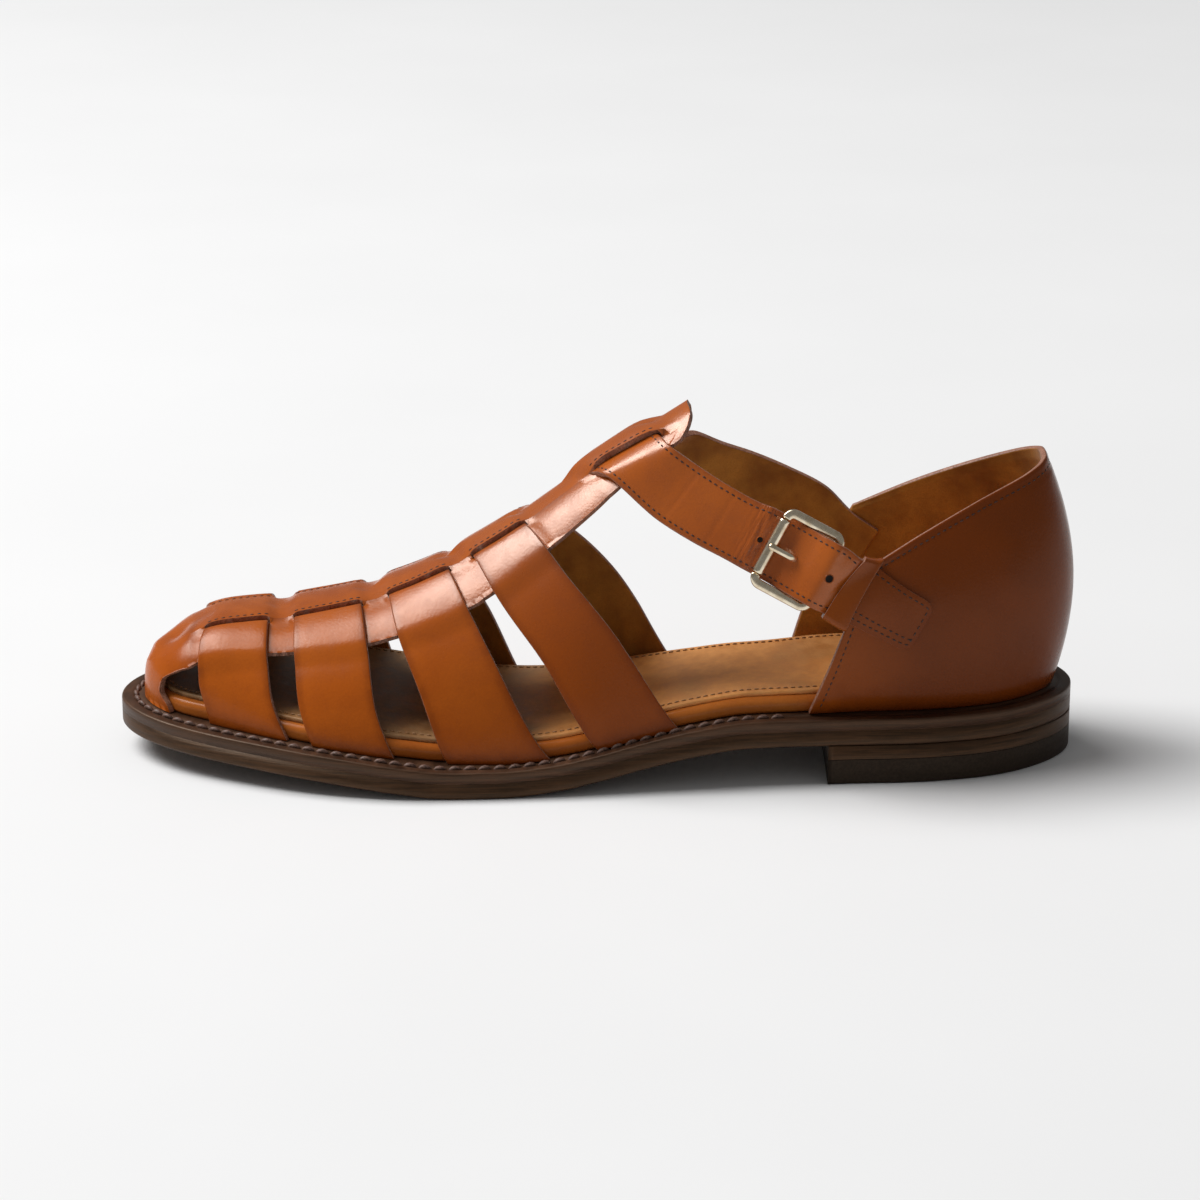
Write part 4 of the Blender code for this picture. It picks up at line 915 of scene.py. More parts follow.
def build_spine(looks):
    """The spine strap with its slots and wings, its flap, and the toe piece, in one leather."""
    lines = spine_lines()
    half = CENTRE_STRIP / 2
    total = len(STRIP_ROWS) + 2 + WING_ROWS + TOE_ROWS
    count = 2 * total - 1
    outer = np.zeros((count, len(lines), 3))
    inner = np.zeros_like(outer)
    tone = np.zeros((count, len(lines)))
    for j, (place, rise, sink, slot) in enumerate(lines):
        for side_name, side in SIDES.items():
            reach = line_reach(place, side_name)
            scale = min(1.0, reach / float(wing_reach(place(side_name, 0.6))))
            in_slot = isinstance(slot, float)
            narrow = SLOT_NARROW * max(0.0, 1 - slot / SLOT_TAPER) ** 1.5 if in_slot else 0.0
            strip_edge = half + narrow
            wing_edge = half + SLOT - narrow
            distances = [row * MM for row in STRIP_ROWS] + [strip_edge, wing_edge]
            wing = np.linspace(wing_edge / scale, reach / scale, WING_ROWS + 1)[1:]
            distances = np.concatenate([np.array(distances), wing]) * scale
            points, normals, girths = on_line(place, side_name, distances)
            side_girths = girths[-1] * np.linspace(1, 0, TOE_ROWS + 1)[1:]
            turns = turn_at(place(side_name, side_girths), side)
            points = np.concatenate([points, last_point(turns, side_girths)])
            normals = np.concatenate([normals, last_normal(turns, side_girths)])
            lift = np.zeros(total)
            strip = len(STRIP_ROWS) + 1
            lift[:strip] = rise
            if slot == "toe":
                across = np.pad(distances, (0, total - len(distances)), "edge")
                lift = rise * (1 - smooth_step((across - 0.6 * half) / (1.6 * half)))
            else:
                lift[strip : strip + 1 + WING_ROWS] = -WING_SINK * sink
            if in_slot:
                lift[strip - 1] += LIP
            elif slot is None:
                lift[strip - 2 : strip] = rise * np.array(STRIP_SHOULDER)
                lift[strip] = rise * STRIP_FOOT - WING_SINK * sink * FOOT_SINK
            i = total - 1 + side * np.arange(total)
            outer[i, j] = points + normals * lift[:, None]
            inner[i, j] = outer[i, j] - normals * WALL
            if slot == "toe":
                tone[i, j] = 0.15 + 0.5 * max(0.0, 1 - abs(j - (len(lines) - TOE_LINES)) / 3)
            else:
                tone[i, j] = 0.35
                tone[i[strip - 1], j] = 1.0
                tone[i[strip + WING_ROWS - 1 :], j] = 0.8
    for grid in (outer, inner):
        away = np.linalg.norm((grid - TOE_CORNER) / TOE_CORNER_REACH, axis=-1)
        grid += TOE_CORNER_EASE * np.exp(-(away**2))[..., None]
    keep = np.zeros((count - 1, len(lines) - 1), bool)
    slot_row = len(STRIP_ROWS)
    for i in range(count - 1):
        row = min(abs(i - total + 1), abs(i + 1 - total + 1))
        for j in range(len(lines) - 1):
            slots = [line[3] for line in lines[j : j + 2]]
            if row >= slot_row + 1 + WING_ROWS:
                keep[i, j] = slots == ["toe", "toe"]
            else:
                keep[i, j] = row != slot_row or not all(isinstance(slot, float) for slot in slots)
    made = slab("spine_and_toe", outer, inner, looks, keep, folded=True, width=0.4 * MM, tones={"edge": tone})
    rows = []
    starts = {}
    number = -1
    for j, (_, _, _, slot) in enumerate(lines):
        if isinstance(slot, float):
            starts.setdefault(number, []).append(j)
        elif starts.get(number):
            number -= 1
    for group in starts.values():
        if len(group) < 3:
            continue
        for side in (-1, 1):
            i = total - 1 + side * SLOT_SEAM_ROW
            points = outer[i, group] * (1 - SLOT_SEAM_SHARE) + outer[i + side, group] * SLOT_SEAM_SHARE
            rows.append((points, unit(outer[i, group] - inner[i, group])))
    return made, rows


# The cross bands: height of their outer face over the last, from under the strip to the side
UNDER_STRIP = -0.5 * MM
OVER_WING = 1.45 * MM
BAND_CLIMB = 3.4 * MM
BAND_FALL = 8.0 * MM
BAND_CROWN = 0.22 * MM
CROWN_START = 14 * MM
# The leather darkens over this height above the welt
BAND_FOOT = 6 * MM
BAND_LINES = 19
BAND_ROWS = 76


def band_lift(distance, reach):
    up = smooth_step((distance - (CENTRE_STRIP / 2 - 0.6 * MM)) / BAND_CLIMB)
    down = smooth_step((distance - (reach - 1.0 * MM)) / BAND_FALL)
    return UNDER_STRIP + (OVER_WING - UNDER_STRIP) * up - OVER_WING * down


def build_band(number, looks):
    shares = np.linspace(0, 1, BAND_LINES)
    rows = BAND_ROWS
    outer = np.zeros((2 * rows - 1, len(shares), 3))
    inner = np.zeros_like(outer)
    tone = np.zeros(outer.shape[:2])
    for j, share in enumerate(shares):
        place = between(edge_line(number + "_back"), edge_line(number + "_front"), share)
        for side_name, side in SIDES.items():
            length = line_lengths(place, side_name)[-1]
            distances = np.linspace(0, length, rows)
            points, normals, _ = on_line(place, side_name, distances)
            normals[-1] = levelled(normals[-1])
            lift = band_lift(distances, line_reach(place, side_name))
            lift += BAND_CROWN * (1 - (2 * share - 1) ** 4) * smooth_step(distances / CROWN_START)
            i = rows - 1 + side * np.arange(rows)
            outer[i, j] = points + normals * lift[:, None]
            outer[i[-1], j, 2] -= CLEARANCE
            inner[i, j] = outer[i, j] - normals * WALL
            foot = smooth_step((distances - length + BAND_FOOT) / BAND_FOOT)
            tone[i, j] = np.maximum(edge_tone(2 * share - 1, 0.72), foot * 0.9)
    return slab(number, outer, inner, looks, width=0.42 * MM, tones={"edge": tone})


# The ankle strap

STRAP_WINGS = [
    ("distance", "lift"),
    (0.0 * MM, 0.70 * MM),
    (6.5 * MM, 0.55 * MM),
    (9.5 * MM, 0.75 * MM),
    (12.5 * MM, 1.60 * MM),
    (15.5 * MM, 2.20 * MM),
]
STRAP_FORWARD = 1.6 * MM
STRAP_CROWN = 0.25 * MM
# The strap's seams: the row in which they start, and how far they lie from one column to the next
STRAP_SEAM_START = 13
STRAP_SEAM_SHARE = 0.42
STRAP_ROWS = 150
STRAP_COLUMNS = 17
# Creases: share of the strap's length, and depth in millimetres. The first three lie before the roller.
CREASE_HALF = 0.006
CREASES = ((0.655, 0.175), (0.675, 0.25), (0.695, 0.175), (0.50, 0.125), (0.36, 0.15))


def strap_keys(side_name):
    """Outer points of the ankle strap, row by row, at five places across it."""
    shares = np.linspace(0, 1, 5)
    rows = []
    for distance, lift in STRAP_WINGS[1:]:
        row = []
        for share in shares:
            place = between(edge_line("ankle_back"), edge_line("ankle_front", STRAP_FORWARD), share)
            points, normals, _ = on_line(place, side_name, np.array([distance]))
            row.append(points[0] + normals[0] * lift)
        rows.append(row)
    for along in (0.0, 0.30, 0.65):
        rows.append(run_point(side_name, along, shares))
    across = ANKLE_STRAP_WIDTH * (0.5 - shares)
    if side_name == "outer":
        for along, rise in BUCKLE_RUN_ROWS[1:]:
            rows.append(buckle_points(along * FRAME_LENGTH / 2, across, rise * STRAP_OVER_BAR))
        for along in STACK_ROWS:
            rows.append(stack_points(np.full(5, along), across, np.full(5, STRAP_TOP)))
        return np.array(rows)
    for along in (0.82, 1.0):
        rows.append(run_point(side_name, along, shares))
    for along in (0.0, 0.5, 1.0):
        upper = [float(column(INNER_END, "upper_" + name, along)) for name in ("station", "height")]
        lower = [float(column(INNER_END, "lower_" + name, along)) for name in ("station", "height")]
        station = upper[0] * (1 - shares) + lower[0] * shares
        height = INSTEP_HEIGHT * (upper[1] * (1 - shares) + lower[1] * shares)
        rows.append(counter_at(station, height, "inner") + np.array([0.0, FUSE - WALL, 0.0]))
    return np.array(rows)


def build_ankle_strap(side_name, looks):
    side = SIDES[side_name]
    keys = strap_keys(side_name)
    fine = through(keys, STRAP_ROWS)
    fine = through(fine.transpose(1, 0, 2), STRAP_COLUMNS).transpose(1, 0, 2)
    normals = grid_normals(fine)
    if (normals[20, STRAP_COLUMNS // 2] @ np.array([0.0, side, 0.35])) < 0:
        normals = -normals
    places = np.linspace(0, 1, len(fine))
    across = np.linspace(-1, 1, fine.shape[1])
    crown = STRAP_CROWN * (1 - across**4)
    fine = fine + normals * crown[None, :, None]
    for place, depth in CREASES:
        if side_name == "outer":
            dent = groove(places, place, depth * MM, CREASE_HALF)
            fine = fine + normals * (dent[:, None] * (1 - 0.6 * across[None, :] ** 2))[..., None]
    back = fine - normals * ANKLE_STRAP_THICKNESS
    lengths = run_lengths(fine[:, STRAP_COLUMNS // 2])
    tones = {
        "edge": np.broadcast_to(edge_tone(across), fine.shape[:2]),
        "along": np.broadcast_to(lengths[:, None], fine.shape[:2]),
        "across": np.broadcast_to(across[None] * ANKLE_STRAP_WIDTH / 2, fine.shape[:2]),
    }
    made = slab("ankle_strap_" + side_name, fine, back, looks, width=0.5 * MM, tones=tones)
    lines = []
    for j, inward in ((1, 1), (STRAP_COLUMNS - 2, -1)):
        seam = fine[STRAP_SEAM_START:]
        line = seam[:, j] * (1 - STRAP_SEAM_SHARE) + seam[:, j + inward] * STRAP_SEAM_SHARE
        lines.append((line, normals[STRAP_SEAM_START:, j]))
    return made, lines, fine, normals


# The counter

COUNTER_SIDES = 90
COUNTER_UPS = 52
# How far the fold's seam lies below the rim and the front seam behind the front edge
TOPLINE_FOLD = 2.9 * MM
FRONT_SEAM = 2.6 * MM
FOLD_DEPTH = 0.28 * MM
SEAM_DEPTH = 0.25 * MM
SEAM_HALF = 0.7 * MM
# The fold stands up a little between its seam and the rim
FOLD_BEAD = 0.12 * MM
FOLD_MIDDLE = 1.2 * MM
FOLD_HALF = 1.1 * MM
# The leather darkens over these heights, below the rim and above the welt
RIM_DARK = 4 * MM
FOOT_DARK = 14 * MM


def build_counter(looks):
    ups = np.linspace(0, 1, COUNTER_UPS)
    steps = np.linspace(0, 1, COUNTER_SIDES)
    outer_half = counter_points(steps[::-1, None], ups[None], "outer")
    inner_half = counter_points(steps[1:, None], ups[None], "inner")
    outer = np.concatenate([outer_half, inner_half])
    normals = grid_normals(outer)
    centre = outer.mean((0, 1))
    if ((outer - centre) * normals).sum() < 0:
        normals = -normals
    normals = np.concatenate([levelled(normals[:, :1]), normals[:, 1:]], 1)
    lengths = np.linalg.norm(np.diff(outer, axis=1), axis=2)
    below_rim = np.concatenate([np.cumsum(lengths[:, ::-1], 1)[:, ::-1], np.zeros((len(outer), 1))], 1)
    relief = groove(below_rim, TOPLINE_FOLD, FOLD_DEPTH, SEAM_HALF)
    relief += groove(below_rim, FOLD_MIDDLE, -FOLD_BEAD, FOLD_HALF)
    orders = (np.arange(len(outer)), np.arange(len(outer))[::-1])
    for order in orders:
        first, second = outer[order[:2], 12]
        from_front = order * np.linalg.norm(first - second)
        relief += groove(from_front, FRONT_SEAM, SEAM_DEPTH, SEAM_HALF)[:, None]
    outer = outer + normals * relief[..., None]
    outer[:, 0, 2] -= CLEARANCE
    inner = outer - normals * WALL
    tone = smooth_step(1 - below_rim / RIM_DARK) * 0.7
    foot = np.concatenate([np.zeros((len(outer), 1)), np.cumsum(lengths, 1)], 1)
    tone = np.maximum(tone, smooth_step(1 - foot / FOOT_DARK) * 0.8)
    made = slab("heel_counter", outer, inner, looks, width=0.5 * MM, tones={"edge": tone})
    topline = []
    for i in range(1, len(outer) - 1):
        topline.append([np.interp(-TOPLINE_FOLD, -below_rim[i], outer[i, :, k]) for k in range(3)])
    lines = [(np.array(topline), normals[1:-1, -2])]
    for order in orders:
        line = []
        line_normals = []
        for j in range(2, COUNTER_UPS - 3):
            row = outer[order, j]
            far = run_lengths(row)
            line.append([np.interp(FRONT_SEAM, far, row[:, k]) for k in range(3)])
            line_normals.append(normals[order[3], j])
        lines.append((np.array(line), np.array(line_normals)))
    return made, lines


# The sole


def even(value):
    return lambda station: np.full_like(np.asarray(station, float), value)


def lifted(height, rise):
    return lambda station: height(station) + rise


def margin(extra):
    return lambda station: upper_inset(station) + WALL + CLEARANCE + extra


def corner(inset, height, size, upwards, steps=4):
    """Levels round an edge: from the side onto the top (upwards) or from below onto the side."""
    levels = []
    for angle in np.linspace(0, math.pi / 2, steps + 1):
        if upwards:
            into = size * (1 - math.cos(angle))
            drop = -size * (1 - math.sin(angle))
        else:
            into = size * (1 - math.sin(angle))
            drop = size * (1 - math.cos(angle))
        levels.append((lambda s, i=into: inset(s) + i, lambda s, d=drop: height(s) + d))
    return levels


def sole_plate(name, levels, looks, last=1.0, count=150, across=14, dish=None):
    """A plate with finely rounded edges and a top that can be dished."""
    turns = np.linspace(0, math.acos(1 - 2 * last), count + 1)
    points = []
    faces = []
    loops = []
    for inset, height in levels:
        pair = []
        for side in (-1, 1):
            angle = side * turns
            plan = edge(angle, inset((1 - np.cos(angle)) / 2))
            pair.append(np.concatenate([plan, height(station_of(plan[:, 0]))[:, None]], -1))
        loops.append(pair)
    size = count + 1
    for pair in loops:
        points.extend(pair[0])
        points.extend(pair[1])
    k = np.arange(count)
    for level in range(len(loops) - 1):
        low = level * 2 * size
        high = low + 2 * size
        faces.append(np.stack([low + k, high + k, high + k + 1, low + k + 1], 1))
        faces.append(np.stack([low + size + k, low + size + k + 1, high + size + k + 1, high + size + k], 1))
        faces.append(np.array([[low, low + size, high + size, high]]))
        faces.append(np.array([[low + count, high + count, high + size + count, low + size + count]]))
    for level, upwards in ((0, False), (len(loops) - 1, True)):
        base = level * 2 * size
        rows = [base + np.arange(size)]
        for share in np.linspace(0, 1, across + 1)[1:-1]:
            new = loops[level][0] * (1 - share) + loops[level][1] * share
            if upwards and dish is not None:
                new = new - np.array([0, 0, 1.0]) * dish(station_of(new[:, 0]), share)[:, None]
            rows.append(len(points) + np.arange(size))
            points.extend(new)
        rows.append(base + size + np.arange(size))
        for a, b in zip(rows, rows[1:]):
            quad = np.stack([a[k], b[k], b[k + 1], a[k + 1]], 1)
            faces.append(quad if upwards else quad[:, ::-1])
    made = piece(name, points, np.concatenate(faces), looks)
    shade = made.modifiers.new("normals", "WEIGHTED_NORMAL")
    shade.keep_sharp = False
    return made


def ring_loops(levels, count=360):
    turns = np.linspace(0, 2 * np.pi, count, endpoint=False)
    station = (1 - np.cos(turns)) / 2
    loops = []
    for inset, height in levels:
        plan = edge(turns, inset(station))
        loops.append(np.concatenate([plan, height(station_of(plan[:, 0]))[:, None]], -1))
    return np.array(loops)


OUTSOLE_ROUND = 0.9 * MM
WELT_ROUND = 0.7 * MM
# The welt's groove: how far in from the edge and how deep, in millimetres
WELT_PROFILE = ((2.4, 0.02), (3.3, 0.10), (3.7, 0.40), (5.0, 0.45), (5.5, 0.15), (6.4, 0.0))
WELT_GROOVE = 4.35 * MM
WELT_STITCH_END = 0.305
WELT_THREAD = {
    "pitch": 4.4 * MM,
    "length": 4.1 * MM,
    "width": 1.55 * MM,
    "height": 0.80 * MM,
    "sink": 0.75,
    "slant": 0.16,
}
RUBBER_ROUND = 0.7 * MM
FOOTBED_ROUND = 2.3 * MM
SOCK_ROUND = 0.6 * MM
SOCK_DISH = 0.9 * MM
SOCK_SEAM = 2.2 * MM
SOCK_THREAD = {"pitch": 2.2 * MM, "length": 1.5 * MM, "width": 0.5 * MM, "height": 0.22 * MM}


def build_sole(looks):
    outsole_top = lifted(sole_underside, OUTSOLE_THICKNESS)
    welt_under = lifted(outsole_top, 0.01 * MM)
    outsole = corner(even(0), sole_underside, OUTSOLE_ROUND, False)
    outsole += [(even(0), outsole_top)]
    sole_plate("outsole_edge", outsole, [looks["sole"]])
    levels = [(even(0), welt_under)]
    levels += corner(even(0), welt_top, WELT_ROUND, True, 3)
    for inset, drop in WELT_PROFILE:
        levels.append((even(inset * MM), lifted(welt_top, -drop * MM)))
    levels += [(even(WELT_WIDTH), welt_top), (even(WELT_WIDTH), welt_under)]
    loops = ring_loops(levels)
    loops = np.concatenate([loops, loops[:1]])
    lathe_rows("welt_strip", loops, [looks["welt"]])
    breast = HEEL_LENGTH / LENGTH
    lift_top = even(HEEL_RISE - 0.03 * MM)
    lift_under = even(HEEL_RISE - CLEARANCE - LIFT_THICKNESS)
    rubber_top = even(HEEL_RISE - CLEARANCE - 0.05 * MM - LIFT_THICKNESS)
    lift = [(even(0.05 * MM), lift_under), (even(0), lifted(lift_under, 0.1 * MM)), (even(0), lift_top)]
    sole_plate("stacked_lift", lift, [looks["sole"]], last=breast, count=80)
    rubber = corner(even(0), even(0), RUBBER_ROUND, False, 3)
    rubber += corner(even(0), rubber_top, 0.15 * MM, True, 1)
    sole_plate("rubber_lift", rubber, [looks["rubber"]], last=breast, count=80)
    bed_under = lifted(welt_top, 0.02 * MM)
    bed_top = lifted(welt_top, CLEARANCE + FOOTBED_THICKNESS)
    bed = corner(margin(0.1 * MM), bed_under, 1.0 * MM, False, 3)
    bed += corner(margin(0.1 * MM), bed_top, FOOTBED_ROUND, True, 6)
    sole_plate("footbed_wrap", bed, [looks["footbed"]])
    sock_under = lifted(bed_top, 0.05 * MM)
    sock_top = lifted(bed_top, CLEARANCE + INSOLE_THICKNESS)

    def dish(station, share):
        return SOCK_DISH * (1 - (2 * share - 1) ** 2) * np.ones_like(station)

    sock = [(margin(INSOLE_MARGIN), sock_under)]
    sock += corner(margin(INSOLE_MARGIN), sock_top, SOCK_ROUND, True, 3)
    sole_plate("insole_sock", sock, [looks["insole"]], dish=dish)
    ends = math.acos(1 - 2 * WELT_STITCH_END)
    turns = np.linspace(ends, 2 * np.pi - ends, 721)
    up = np.tile([0.0, 0.0, 1.0], (len(turns), 1))
    plan = edge(turns, np.full(len(turns), WELT_GROOVE))
    line = np.concatenate([plan, (welt_top(station_of(plan[:, 0])) - 0.15 * MM)[:, None]], -1)
    stitches("welt_stitches", [(line, up)], looks["welt thread"], "welt leather", **WELT_THREAD)
    turns = np.linspace(0, 2 * np.pi, 721)
    station = (1 - np.cos(turns)) / 2
    inset = margin(INSOLE_MARGIN + SOCK_SEAM)(station)
    plan = edge(turns, inset)
    line = np.concatenate([plan, (sock_top(station_of(plan[:, 0])) + 0.02 * MM)[:, None]], -1)
    stitches("sock_stitches", [(line, up)], looks["sock thread"], "insole leather", **SOCK_THREAD)


# Buckle, chape and keeper


def sweep(name, path, sections, look, closed=False):
    _, first_run, _, away = buckle_axes()
    loops = []
    count = len(path)
    for i, place in enumerate(path):
        if closed:
            run = path[(i + 1) % count] - path[i - 1]
        else:
            run = path[min(i + 1, count - 1)] - path[max(i - 1, 0)]
        run = unit(run)
        side = unit(np.cross(run, away)) if abs(run @ away) < 0.99 else first_run
        up = np.cross(side, run)
        loops.append([place + side * s + up * u for s, u in sections[i]])
    return lathe_rows(name, loops, [look], closed_rows=closed, caps=not closed)


def oval(width, depth, power=0.7, count=20):
    places = []
    for a in np.linspace(0, 2 * np.pi, count, endpoint=False):
        side = math.copysign(abs(math.cos(a)) ** power, math.cos(a))
        up = math.copysign(abs(math.sin(a)) ** power, math.sin(a))
        places.append((width / 2 * side, depth / 2 * up))
    return places


# The photo's buckle is a little stouter than the solids
BAR_WIDER = 1.25
BAR_DEEPER = 1.1
PIN_THICKER = 1.2


def build_frame(looks):
    half_run = FRAME_LENGTH / 2
    half_bars = FRAME_WIDTH / 2
    corner_size = FRAME_CORNER
    bar = oval(FRAME_BAR * BAR_WIDER, FRAME_DEPTH * BAR_DEEPER, 0.62)
    pin = oval(PIN_DIAMETER, PIN_DIAMETER, 1.0)
    hinge = oval(HINGE_DIAMETER, HINGE_DIAMETER, 1.0)
    path = []
    sections = []

    def add(along, across, section):
        path.append(buckle_points(along, across, 0.0))
        sections.append(section)

    def arc(centre_along, centre_across, start):
        for angle in np.radians(start + np.linspace(8, 82, 7)):
            along = centre_along + corner_size * math.cos(angle)
            across = centre_across + corner_size * math.sin(angle)
            add(along, across, bar)

    straight = half_bars - corner_size
    side_half = half_run - corner_size
    for end, end_bar, start in ((1, hinge, 0), (-1, pin, 180)):
        for across in np.linspace(-straight + CLEARANCE, straight - CLEARANCE, 5):
            add(end * half_run, end * across, end_bar)
        add(end * half_run, end * straight, bar)
        arc(end * side_half, end * straight, start)
        for along in np.linspace(side_half, -side_half, 7):
            add(end * along, end * half_bars, bar)
        arc(-end * side_half, end * straight, start + 90)
        add(-end * half_run, end * straight, bar)
    return sweep("frame_bars", path, sections, looks["metal"], closed=True)


def build_roller(looks):
    half = BAR_HALF
    inside = PIN_DIAMETER / 2 + 0.15 * MM
    outside = ROLLER_DIAMETER / 2 * PIN_THICKER
    soft = 0.35 * MM
    end = [(-half, inside), (-half, outside - soft)]
    end += [(-half + soft * 0.3, outside - soft * 0.3), (-half + soft, outside)]
    rings = end + [(across, outside) for across in np.linspace(-half + 1 * MM, half - 1 * MM, 6)]
    rings += [(-across, radius) for across, radius in reversed(end)]
    angles = np.linspace(0, 2 * np.pi, 28, endpoint=False)
    loops = []
    for across, radius in rings + rings[:1]:
        along = -FRAME_LENGTH / 2 + radius * np.cos(angles)
        loops.append(buckle_points(along, across, radius * np.sin(angles)))
    return lathe_rows("roller_tube", loops, [looks["metal"]])


def build_prong(looks):
    rest = ROLLER_DIAMETER / 2 + 0.05 * MM + PRONG_DIAMETER / 2
    keys = [buckle_points(along * FRAME_LENGTH / 2, 0.0, rise * rest) for along, rise in PRONG_SHAPE[1:]]
    path = through(np.array(keys)[:, None], 60)[:, 0]
    sections = []
    for k in range(len(path)):
        left = (len(path) - 1 - k) / 4
        blunt = 1.0 if left > 1 else 0.35 + 0.65 * math.sqrt(max(0.0, 1 - (1 - left) ** 2))
        size = PRONG_DIAMETER * PIN_THICKER * blunt
        sections.append(oval(size, size * 0.9, 0.9, 16))
    return sweep("prong_bar", path, sections, looks["metal"])


TAB_ROWS = 34
TAB_ROUND = 3.2 * MM
# The air under the tab and inside the keeper
UNDER_GAP = 0.15 * MM


def build_chape(looks):
    """The tab on the counter, folded round the hinge bar, with a notch for the prong."""
    half = CHAPE_WIDTH / 2
    shares = np.linspace(-1, 1, 17)
    alongs = np.linspace(CHAPE_TAB[-1][0], CHAPE_TAB[1][0], TAB_ROWS)
    widths = column(CHAPE_TAB, "width", alongs)
    drops = column(CHAPE_TAB, "drop", alongs)
    ends = np.clip((alongs[0] - alongs) / (TAB_ROUND / CHAPE_END), 0, 1)
    widths = np.maximum(widths, 0.86)
    width_round = 1 - (1 - np.sqrt(np.clip(1 - (1 - ends) ** 2, 0, 1))) * 0.30
    rows_along = alongs[:, None] * CHAPE_END * np.ones_like(shares)
    rows_across = -half * (shares[None] * (widths * width_round)[:, None] + drops[:, None])
    outer = stack_points(rows_along, rows_across, np.full(rows_along.shape, UNDER_GAP + CHAPE_THICKNESS))
    inner = stack_points(rows_along, rows_across, np.full(rows_along.shape, UNDER_GAP))
    near = HINGE_DIAMETER / 2 + 0.12 * MM
    far = near + CHAPE_THICKNESS
    bar = FRAME_LENGTH / 2
    fold_start = bar + 2.6 * MM
    loop_outer = [buckle_points(fold_start, -shares * BAR_HALF, -near)]
    loop_inner = [buckle_points(fold_start, -shares * BAR_HALF, -far)]
    for angle in np.radians(np.linspace(270, 90, 15)):
        for rows, radius in ((loop_outer, near), (loop_inner, far)):
            along = bar + radius * math.cos(angle)
            rows.append(buckle_points(along, -shares * BAR_HALF, radius * math.sin(angle)))
    outer = np.concatenate([outer, np.array(loop_outer)])
    inner = np.concatenate([inner, np.array(loop_inner)])
    keep = np.ones((outer.shape[0] - 1, outer.shape[1] - 1), bool)
    keep[TAB_ROWS + 1 : -1, 7:9] = False
    tone = np.zeros(outer.shape[:2])
    end = smooth_step((2.2 - np.arange(TAB_ROWS)) / 2.2)[:, None]
    tone[:TAB_ROWS] = np.maximum(edge_tone(shares)[None], end)
    made = slab("chape_tab", outer, inner, looks, keep, width=0.30 * MM, tones={"edge": tone})
    tab = outer[:TAB_ROWS]
    normals = unit(tab - inner[:TAB_ROWS])
    lines = [(tab[1, 2:-2] * 0.5 + tab[2, 2:-2] * 0.5, normals[1, 2:-2])]
    for last, j, beside, share in ((TAB_ROWS, 1, 2, 0.55), (TAB_ROWS, -2, -3, 0.55), (-2, -4, -5, 0.4)):
        line = tab[1:last, j] * (1 - share) + tab[1:last, beside] * share
        lines.append((line, normals[1:last, j]))
    return made, lines


def build_keeper(looks):
    inside_half = ANKLE_STRAP_WIDTH / 2 + UNDER_GAP
    outside_half = inside_half + KEEPER_THICKNESS
    inside_top = STRAP_TOP + UNDER_GAP
    outside_top = inside_top + KEEPER_THICKNESS
    alongs = np.linspace(KEEPER_START, KEEPER_START + KEEPER_WIDTH, 8)

    def path(half, top, size):
        places = [(-half, 0.1 * MM), (-half, top * 0.5)]
        for angle in np.linspace(math.pi, math.pi / 2, 6):
            places.append((-half + size + size * math.cos(angle), top - size + size * math.sin(angle)))
        places += [(across, top) for across in np.linspace(-half + size, half - size, 9)[1:-1]]
        for angle in np.linspace(math.pi / 2, 0, 6):
            places.append((half - size + size * math.cos(angle), top - size + size * math.sin(angle)))
        return np.array(places + [(half, top * 0.5), (half, 0.1 * MM)])

    _, run, bars, away = buckle_axes()
    fits = []
    stops = np.linspace(-inside_half, inside_half, 9)
    for along in alongs:
        under = stack_points(np.full(9, along), stops, np.full(9, STRAP_TOP))
        under = under - buckle_points(along, stops, 0.0)
        fits.append([np.polyfit(stops / inside_half, under @ axis, 2) for axis in (run, bars, away)])
    grids = []
    faces = (
        (outside_half, outside_top, KEEPER_THICKNESS * 1.2),
        (inside_half, inside_top, 0.5 * MM),
    )
    for half, top, size in faces:
        grid = []
        for across, rise in path(half, top, size):
            row = []
            for along, fit in zip(alongs, fits):
                share = np.clip(across / inside_half, -1.05, 1.05)
                moved = [np.polyval(part, share) for part in fit]
                row.append(buckle_points(along + moved[0], across + moved[1], moved[2] + rise - STRAP_TOP))
            grid.append(row)
        grids.append(np.array(grid))
    rows = grids[0].shape[0]
    tone = np.zeros((rows, len(alongs)))
    tone[:, 0] = 0.6
    return slab("keeper_loop", grids[0], grids[1], looks, width=0.3 * MM, tones={"edge": tone})


def build_hole(name, grid, normals, along, size, looks):
    """A pressed edge on the strap's face round a flat near-black disc, painted shade that stands for the
    inside of a hole.
    """
    middle, axis_run, _, _ = buckle_axes()
    j = grid.shape[1] // 2
    i = int(np.argmin(np.abs((grid[:, j] - middle) @ axis_run - along)))
    centre = grid[i, j]
    normal = normals[i, j]
    run = unit(grid[i + 1, j] - grid[i - 1, j])
    side = unit(np.cross(normal, run))
    loops = []
    angles = np.linspace(0, 2 * np.pi, 24, endpoint=False)
    for radius, rise in ((1.30, -0.05), (1.12, 0.07), (1.0, 0.05), (0.92, 0.0), (0.3, 0.0)):
        ring = [
            centre + (run * math.cos(a) + side * math.sin(a)) * radius * size + normal * rise * MM
            for a in angles
        ]
        loops.append(ring)
    # The inner rings and the top cap take the near-black hole look: painted shade, not an opening.
    hole_looks = [looks["upper"], looks["hole"]]
    return lathe_rows(name, loops, hole_looks, marks=[0, 0, 1, 1], caps=True)


# Materials


